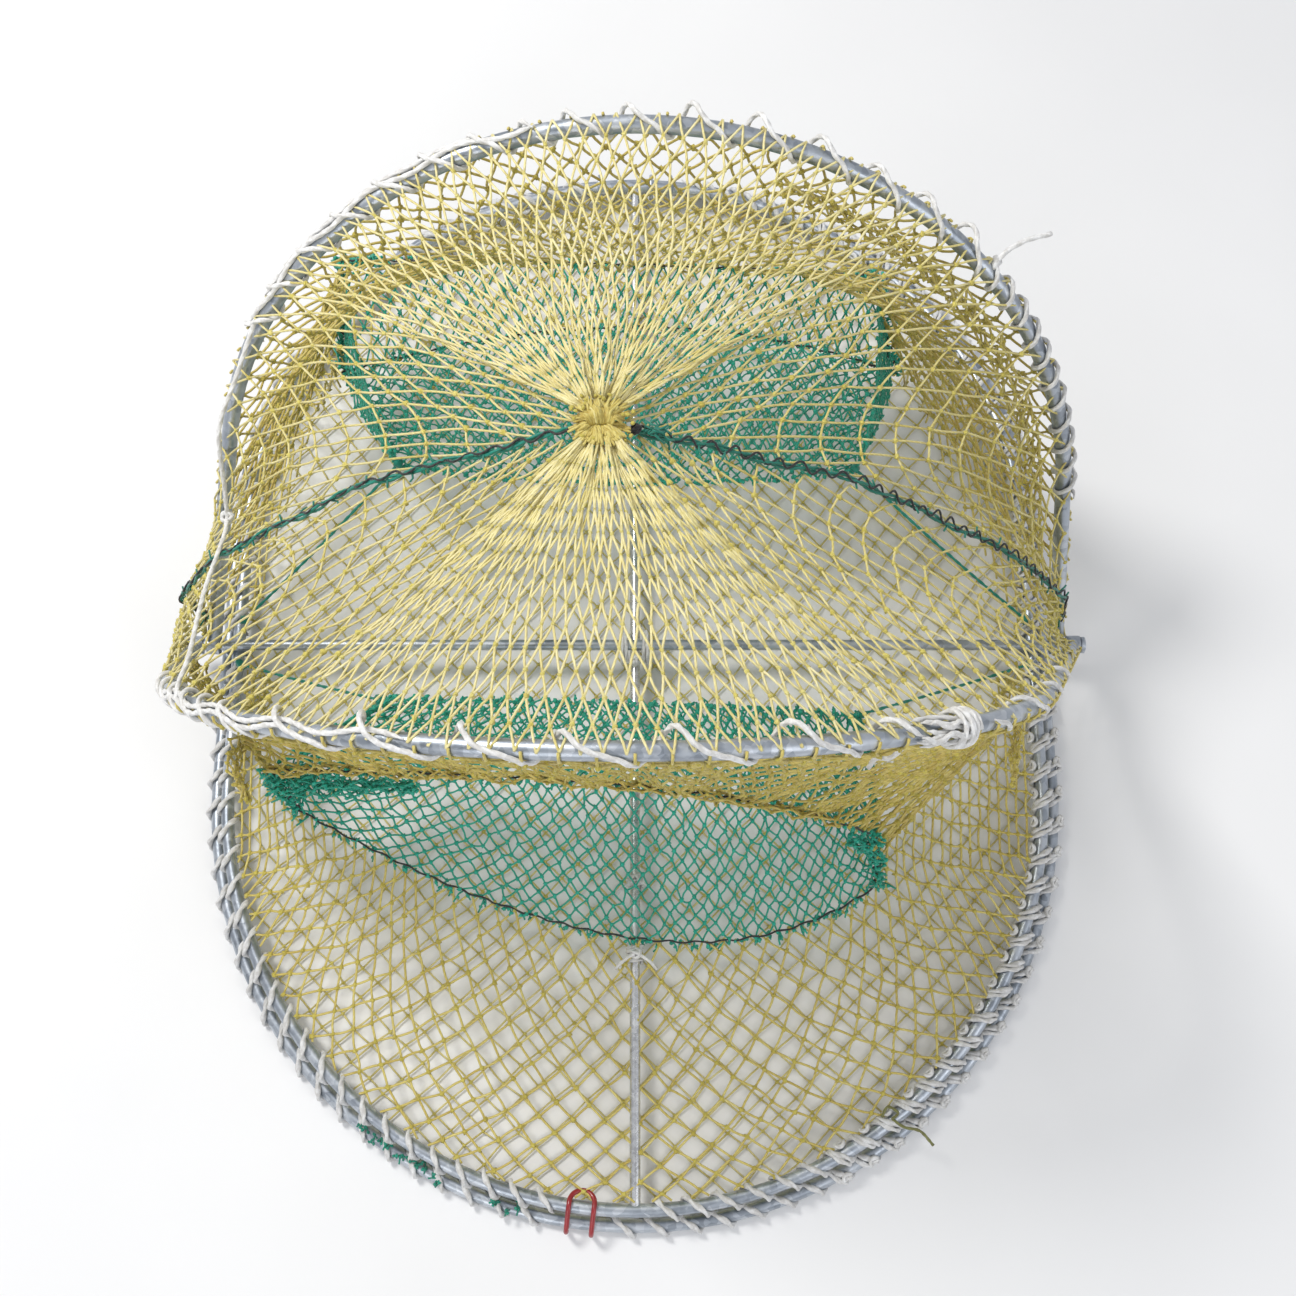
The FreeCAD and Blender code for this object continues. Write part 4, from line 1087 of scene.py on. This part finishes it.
def arch_lashing(word, pitch, s0, s1, loose):
    """Cord wound on an arch: each turn lifts off at the far edge and lies on a long slant over the near face."""
    total = arch_total(word)
    d = np.arange((s0 + 1) / 2 * total, (s1 + 1) / 2 * total, 0.6)
    s = d / total * 2 - 1
    th0 = 2 * math.pi * d / pitch + 0.4 * np.sin(d / 31.0)
    if word == "front":
        th = th0 - 0.72 * np.sin(th0) - 0.55 * np.clip((-s - 0.28) / 0.2, 0, 1)
        lift = loose * np.clip(np.cos(th + 0.95), 0, 1) ** 1.4
    else:
        ph = th0 - 0.62 * np.sin(th0 - 0.83)
        th = -ph
        lift = loose * np.clip(np.cos(th - 0.6), 0, 1) ** 1.4
    rad = ARCH_ROD + 1.35 + lift * (0.8 + 0.35 * np.sin(d / 23.0))
    p = np.stack([arch_at(word, q, out=r * math.cos(a), off=r * math.sin(a)) for q, r, a in zip(s, rad, th)])
    ln = np.concatenate([[0], np.cumsum(np.linalg.norm(np.diff(p, axis=0), axis=1))])
    at = np.arange(0, ln[-1], 1.5)
    return np.stack([np.interp(at, ln, p[:, k]) for k in range(3)], -1)


def laid_along(word, s0, s1, th):
    """Cord that lies along an arch's near face, under the turns."""
    s = np.linspace(s0, s1, int(abs(s1 - s0) * 240))
    a = th + 0.35 * np.sin(s * 60.0)
    return np.stack([arch_at(word, q, out=(ARCH_ROD + 1.2) * math.cos(b), off=(ARCH_ROD + 1.2) * math.sin(b)) for q, b in zip(s, a)])


def spindle(acc, word, s_mid, half, rad, tone=0.8):
    """Spare cord doubled back along the arch rod in a bundle, and bound with a few turns at its outer end."""
    total = arch_total(word)
    u = np.linspace(-1, 1, 60)
    for k, th0 in enumerate((-1.15, -0.7, -0.25, 0.2, 0.65, -0.45, 0.1)):
        th = th0 * (1 - 0.35 * u) + 0.16 * np.sin(u * (3.0 + 0.6 * k) + 1.9 * k)
        top = 1.3 if k < 5 else 3.4
        r = ARCH_ROD + top + rad * (1 - u * u) ** 0.7 * (0.7 + 0.2 * math.sin(2.3 * k))
        s = s_mid + (u * (1 - 0.13 * (k % 3)) + 0.05 * math.sin(1.7 * k)) * half * 2 / total
        rope(acc, np.stack([arch_at(word, q, out=rr * math.cos(a), off=rr * math.sin(a)) for q, rr, a in zip(s, r, th)]), 1.2, pitch=7.0, ring=9, groove=0.16, tone=tone + 0.03 * math.sin(3.1 * k), taper=3.0)
    turns = 5
    u = np.linspace(0, 1, 44 * turns)
    th = u * 2 * math.pi * turns
    r = ARCH_ROD + 2.6 + rad * 0.75 * np.sin(np.pi * u) + 1.6 * np.clip(np.cos(th + 0.3), 0, 1)
    s = s_mid + (0.22 + 0.62 * u + 0.05 * np.sin(th * 0.63)) * half * 2 / total
    rope(acc, np.stack([arch_at(word, q, out=rr * math.cos(a), off=rr * math.sin(a)) for q, rr, a in zip(s, r, th)]), 1.2, pitch=7.0, ring=9, groove=0.16, tone=tone + 0.05)


def arch_pieces():
    # front arch: tight white turns at the left, loose loops over the middle, a heaped knot at the right
    acc = Acc()
    rope(acc, arch_lashing("front", 19.0, -0.66, -0.40, 1.2), 1.3, pitch=7.0, ring=9, groove=0.17, tone=0.9, taper=5.0)
    # these laid cords on the front arch's left half are a real cord laid along the tube and also stand in for the sun's
    # glare on it: a painted highlight, in brightest white
    rope(acc, laid_along("front", -0.62, -0.20, -0.62), 1.3, pitch=7.0, ring=9, groove=0.17, tone=0.95, taper=5.0)
    rope(acc, laid_along("front", -0.60, -0.33, -0.05), 1.3, pitch=7.0, ring=9, groove=0.17, tone=0.9, taper=5.0)
    rope(acc, arch_lashing("front", 42.0, -0.42, 0.27, 5.5), 1.3, pitch=7.0, ring=9, groove=0.17, tone=0.9, taper=5.0)
    spindle(acc, "front", 0.305, 17.0, 1.1, 0.84)
    a = arch_at("front", 0.27, out=-6.0, off=6.0)
    rope(acc, smooth([a, a + [-4, -3, -5], a + [-9, -2, -11], a + [-11, -4, -19]], 1.3), 1.15, pitch=7.0, ring=9, tone=0.6)
    rope(acc, arch_lashing("front", 46.0, 0.37, 0.78, 0.8), 1.2, pitch=7.0, ring=9, groove=0.15, tone=0.7, taper=5.0)
    acc.v = [up(v) for v in acc.v]
    o = acc.build("lashing_arch_front", [WHITE])
    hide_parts("front_arch_lashing")
    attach(o, "arch_front")

    acc = Acc()
    rope(acc, arch_lashing("back", 24.0, -0.52, -0.10, 1.8), 1.3, pitch=7.0, ring=9, groove=0.17, tone=0.92, taper=5.0)
    rope(acc, laid_along("back", -0.50, -0.10, -0.5), 1.3, pitch=7.0, ring=9, groove=0.17, tone=0.95, taper=5.0)
    rope(acc, laid_along("back", -0.46, -0.16, 0.15), 1.25, pitch=7.0, ring=9, groove=0.17, tone=0.9, taper=5.0)
    rope(acc, arch_lashing("back", 27.0, -0.10, 0.42, 4.4), 1.3, pitch=7.0, ring=9, groove=0.17, tone=0.9, taper=5.0)
    rope(acc, arch_lashing("back", 13.0, 0.42, 0.76, 0.6), 1.3, pitch=7.0, ring=9, groove=0.17, tone=0.62, taper=5.0)
    a = arch_at("back", 0.42, out=5.5, off=0.0)
    rope(acc, smooth([a, a + [5, 5, 2], a + [14, 10, 3.0], a + [26, 14, 2.0]], 1.3), 1.35, pitch=7.0, ring=9, tone=0.88)
    knots(acc, [a], 2.6, 0.8, 0, fine=True)
    acc.v = [up(v) for v in acc.v]
    o = acc.build("lashing_arch_back", [WHITE])
    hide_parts("back_arch_lashing")
    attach(o, "arch_back")


def side_stays():
    """White cord from the back arch over the side panel to a knot on it, then down to the front arch's corner."""
    top = arch_at("back", -0.50)
    low = arch_at("front", -0.55)
    knot = np.array([-202.0, 31.0, 118.0])
    for name, node_name, word, pts in (
        ("stay_side_back", "side_stay_back", "back", [top + [-1, -3, 8], 0.5 * (top + np.array([-199.0, 58.0, 166.0])), [-198.0, 60.0, 158.0], knot + [1.0, 9, 11], knot]),
        ("stay_side_front", "side_stay_front", "front", [knot, knot + [0.5, -12, 5], [-204.0, -16.0, 140.0], low + [-1, 22, -4], low + [-2, 4, 6], low + [-1, -5, 3]]),
    ):
        acc = Acc()
        rope(acc, smooth(pts, 1.5), 1.3, pitch=7.0, ring=9, groove=0.15, tone=0.9)
        if word == "back":
            for q in range(3):
                an = np.linspace(0, 2 * math.pi, 20)
                u, v = unit(rng.normal(0, 1, 3)), unit(rng.normal(0, 1, 3))
                v = unit(v - (u @ v) * u)
                rope(acc, knot + 2.6 * (np.cos(an)[:, None] * u + np.sin(an)[:, None] * v), 1.2, pitch=7.0, ring=9, tone=0.88)
        acc.v = [up(v) for v in acc.v]
        o = acc.build(name, [WHITE])
        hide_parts(node_name)
        top_fold(o)


# ---- seam and gather -------------------------------------------------------------------------------------------
def seam():
    cord, thread = Acc(), Acc()
    for sgn in (-1, 1):
        s = sgn * np.linspace(0.05, 0.985, 60)
        p = seam_at(s)
        p[:, 2] += 1.6
        run = _sample(p, 240)
        d = unit(np.gradient(run, axis=0))
        side = unit(np.cross(d, [0, 0, 1.0]))
        upv = np.cross(side, d)
        ln = np.cumsum(np.r_[0, np.linalg.norm(np.diff(run, axis=0), axis=1)])
        wob = 0.9 * np.sin(ln / 9.0)[:, None]
        for ph in (0, math.pi):
            a = ln / 5.0 + ph
            rope(cord, run + side * (0.85 * np.cos(a)[:, None] + wob) + upv * 0.85 * np.sin(a)[:, None], 0.85, lobes=2, pitch=3.5, ring=7, groove=0.15, tone=0.6 if sgn < 0 else 0.35)
        # black zigzag over the cord and into the meshes each side
        nz = int(ln[-1] / (6.4 if sgn < 0 else 5.4))
        at = np.linspace(2, ln[-1] - 2, nz)
        base = np.stack([np.interp(at, ln, run[:, k]) for k in range(3)], -1)
        sd = np.stack([np.interp(at, ln, side[:, k]) for k in range(3)], -1)
        uv = np.stack([np.interp(at, ln, upv[:, k]) for k in range(3)], -1)
        zig = np.where(np.arange(nz) % 2 == 0, 1.0, -1.0)[:, None] * ((1.2 if sgn < 0 else 1.8) + rng.normal(0, 0.3, (nz, 1)))
        lay = np.where(np.arange(nz) % 2 == 0, 0.6, 1.9)[:, None]
        rope(thread, smooth(base + sd * zig + uv * lay + rng.normal(0, 0.25, base.shape), 0.9, 0.6), 0.62, lobes=2, pitch=2.5, ring=6, tone=0.4)
        # meshes of the two nets caught by the seam, as tufts
        n = 26
        at = np.linspace(8, ln[-1] - 3, n)
        base = np.stack([np.interp(at, ln, run[:, k]) for k in range(3)], -1)
        tip = base + np.stack([rng.normal(0, 2.0, n), rng.choice([-1, 1], n) * rng.uniform(2.5, 5.5, n), rng.uniform(-1, 2.5, n)], -1)
        tubes(cord, np.stack([base, (base + tip) / 2 + rng.normal(0, 0.5, (n, 3)), tip], 1), 0.5, 4, 0.5, 0)
    # dark knot of thread beside the gather, with a green tuft
    c = seam_at(0.06) + np.array([3.0, -1.0, 3.5])
    for q in range(5):
        an = np.linspace(0, 2 * math.pi, 18)
        u, v = unit(rng.normal(0, 1, 3)), unit(rng.normal(0, 1, 3))
        v = unit(v - (u @ v) * u)
        rope(thread, c + 2.0 * (np.cos(an)[:, None] * u + np.sin(an)[:, None] * v), 0.75, lobes=2, pitch=2.5, ring=6, tone=0.4)
    n = 16
    base = np.repeat((c + [6, 0, -2.0])[None], n, 0) + rng.normal(0, 2.0, (n, 3))
    tip = base + np.stack([rng.uniform(2, 9, n), rng.normal(0, 3, n), rng.normal(-1, 1.5, n)], -1)
    tubes(cord, np.stack([base, (base + tip) / 2 + rng.normal(0, 1, (n, 3)), tip], 1), 0.5, 4, 0.5, 0)
    for acc, name, node_name, mat, word, sl in ((cord, "seam_green_cord", "seam_cord", GREENCORD, "front", "green_cord"), (thread, "seam_black_thread", "seam_thread", BLACK, "back", "black_thread")):
        acc.v = [up(v) for v in acc.v]
        o = acc.build(name, [mat])
        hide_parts(node_name)
        top_fold(o)


def gather():
    """The bunched end of the top net: pleats of twine that fold over a low ridge and dive into the middle."""
    acc = Acc()
    n = 130
    for a in np.linspace(0, 2 * math.pi, n, endpoint=False) + rng.normal(0, 0.03, n):
        back = max(math.cos(a - 2.1), -0.35)
        wave = math.sin(a * 7.0 + 0.8) + 0.7 * math.sin(a * 4.0 + 0.3)
        side = abs(math.cos(a)) ** 3
        r0 = rng.uniform(8.0, 15.5) * (1 - 0.25 * side)
        c, d = math.cos(a), math.sin(a)
        over = 1.5 if d > 0 else -0.4
        pts = []
        for x, y, z in ((1.15 * r0 * c, 0.78 * r0 * d, 3.1 + 0.05 * r0 - 2.6 * side), (8.2 * c, 5.4 * d, 3.8 + 0.9 * back + 0.7 * wave - 1.2 * side + 0.4 * over),
                        (6.0 * c + 0.8 * d, 3.0 * d - 0.5, 4.2 + 1.5 * back + 0.8 * wave + over), (4.8 * c + 1.0 * d, 0.5 * d - 1.3, 2.2 + 0.4 * wave + over), (3.6 * c, -1.6, -3.0)):
            pts.append(KNOT + np.array([x, y, z]) + rng.normal(0, 0.26, 3))
        # painted light and shade: a strand is lighter the higher its pleat rises (wave) and the further out it starts,
        # so the crater in the middle reads darker
        tubes(acc, _sample(pts, 12)[None], 0.60, 5, 0.33 + 0.028 * (r0 - 8.0) + 0.08 * wave + rng.normal(0, 0.07), 0)
    ang = rng.uniform(0, 2 * math.pi, 26)
    rr = rng.uniform(7.5, 14.0, 26)
    knots(acc, KNOT + np.stack([1.1 * rr * np.cos(ang), 0.85 * rr * np.sin(ang), 5.4 - 0.30 * np.abs(rr - 6.5) + 1.6 * np.cos(ang - 2.1)], -1), 1.0, 0.55, 1)
    # the drawstring in the middle is painted the darkest orange-brown (tone 0): painted shade in the crater
    an = np.linspace(0, 4 * math.pi, 90)
    rope(acc, KNOT + np.stack([3.2 * np.cos(an), 1.8 * np.sin(an), -0.8 + 0.9 * np.sin(an * 0.5)], -1), 0.8, lobes=2, pitch=4.0, ring=8, tone=0.0)
    # the strands that dive down into the middle are painted dark (tone 0.15): painted shade in the crater
    for q in range(26):
        a = rng.uniform(0, 2 * math.pi)
        r = rng.uniform(1.0, 6.0)
        pts = [KNOT + np.array([0.5 * r * math.cos(a), 0.5 * r * math.sin(a), 0.0]), KNOT + np.array([r * math.cos(a), r * math.sin(a), -5.0]), KNOT + np.array([r * 1.2 * math.cos(a + 0.3), r * 1.2 * math.sin(a + 0.3), -11.0 + rng.normal(0, 2)])]
        tubes(acc, _sample(pts, 8)[None], 0.6, 5, 0.15, 0)
    acc.v = [up(v) for v in acc.v]
    o = acc.build("gather_bunch", [YELLOW, YELLOW_KNOT])
    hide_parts("gather_knot")
    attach(o, "gather_front")


def cross_tie():
    acc = Acc()
    for x in (-6.0, 6.0):
        a = np.linspace(0, 2 * math.pi * 2.2, 90)
        p = np.stack([x + 1.3 * np.sin(a * 0.5) * np.sign(x), 8.9 * np.cos(a), RING_Z + 4.6 + 8.9 * np.sin(a)], -1)
        rope(acc, p, 1.2, pitch=6.5, ring=9, tone=0.65)
    for q in range(4):
        an = np.linspace(0, 2 * math.pi, 22)
        u, v = unit(rng.normal(0, 1, 3)), unit(rng.normal(0, 1, 3))
        v = unit(v - (u @ v) * u)
        rope(acc, np.array([0, -8.6, RING_Z + 8.0]) + 2.8 * (np.cos(an)[:, None] * u + np.sin(an)[:, None] * v), 1.2, pitch=6.5, ring=9, tone=0.72)
    rope(acc, smooth([[-6, -8.6, RING_Z + 6], [0, -9.6, RING_Z + 7], [6, -8.6, RING_Z + 6]], 1.2), 1.2, ring=9, tone=0.7)
    for y in (-30.0, -124.0):
        tie_on_rod(acc, y, -1, 3, 1.0)
    o = acc.build("tie_cross", [WHITE])
    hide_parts("rod_cross_tie")
    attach(o, "body_frame")


clip_a = math.radians(-7.0)
clip_mid = (RING_R * math.sin(clip_a), -RING_STRAIGHT - RING_R * math.cos(clip_a))
top_net("front")
top_net("back")
upper_net("front")
upper_net("back")
lower_net("front")
lower_net("back")
floor_net()
funnel("front")
funnel("back")
ring_lashing("lashing_body_ring", "body_lashing", "body_frame", RING_R, RING_Z, 15.5,
             [(clip_mid[0], clip_mid[1], 12.5), (0, -300, 5.0), (0, 300, 28.0), (RING_R, 0, 6.5), (-RING_R, 0, 6.5)])
ring_lashing("lashing_floor_ring", "floor_lashing", "floor_frame", FLOOR_R, FLOOR_Z, 16.5,
             [(clip_mid[0] * 1.03, clip_mid[1] - 8, 14.0), (0, 308, 28.0), (FLOOR_R, 0, 11.0), (-FLOOR_R, 0, 11.0)], floor_at=0.0002, phase=1.2)
arch_pieces()
side_stays()
seam()
gather()
cross_tie()
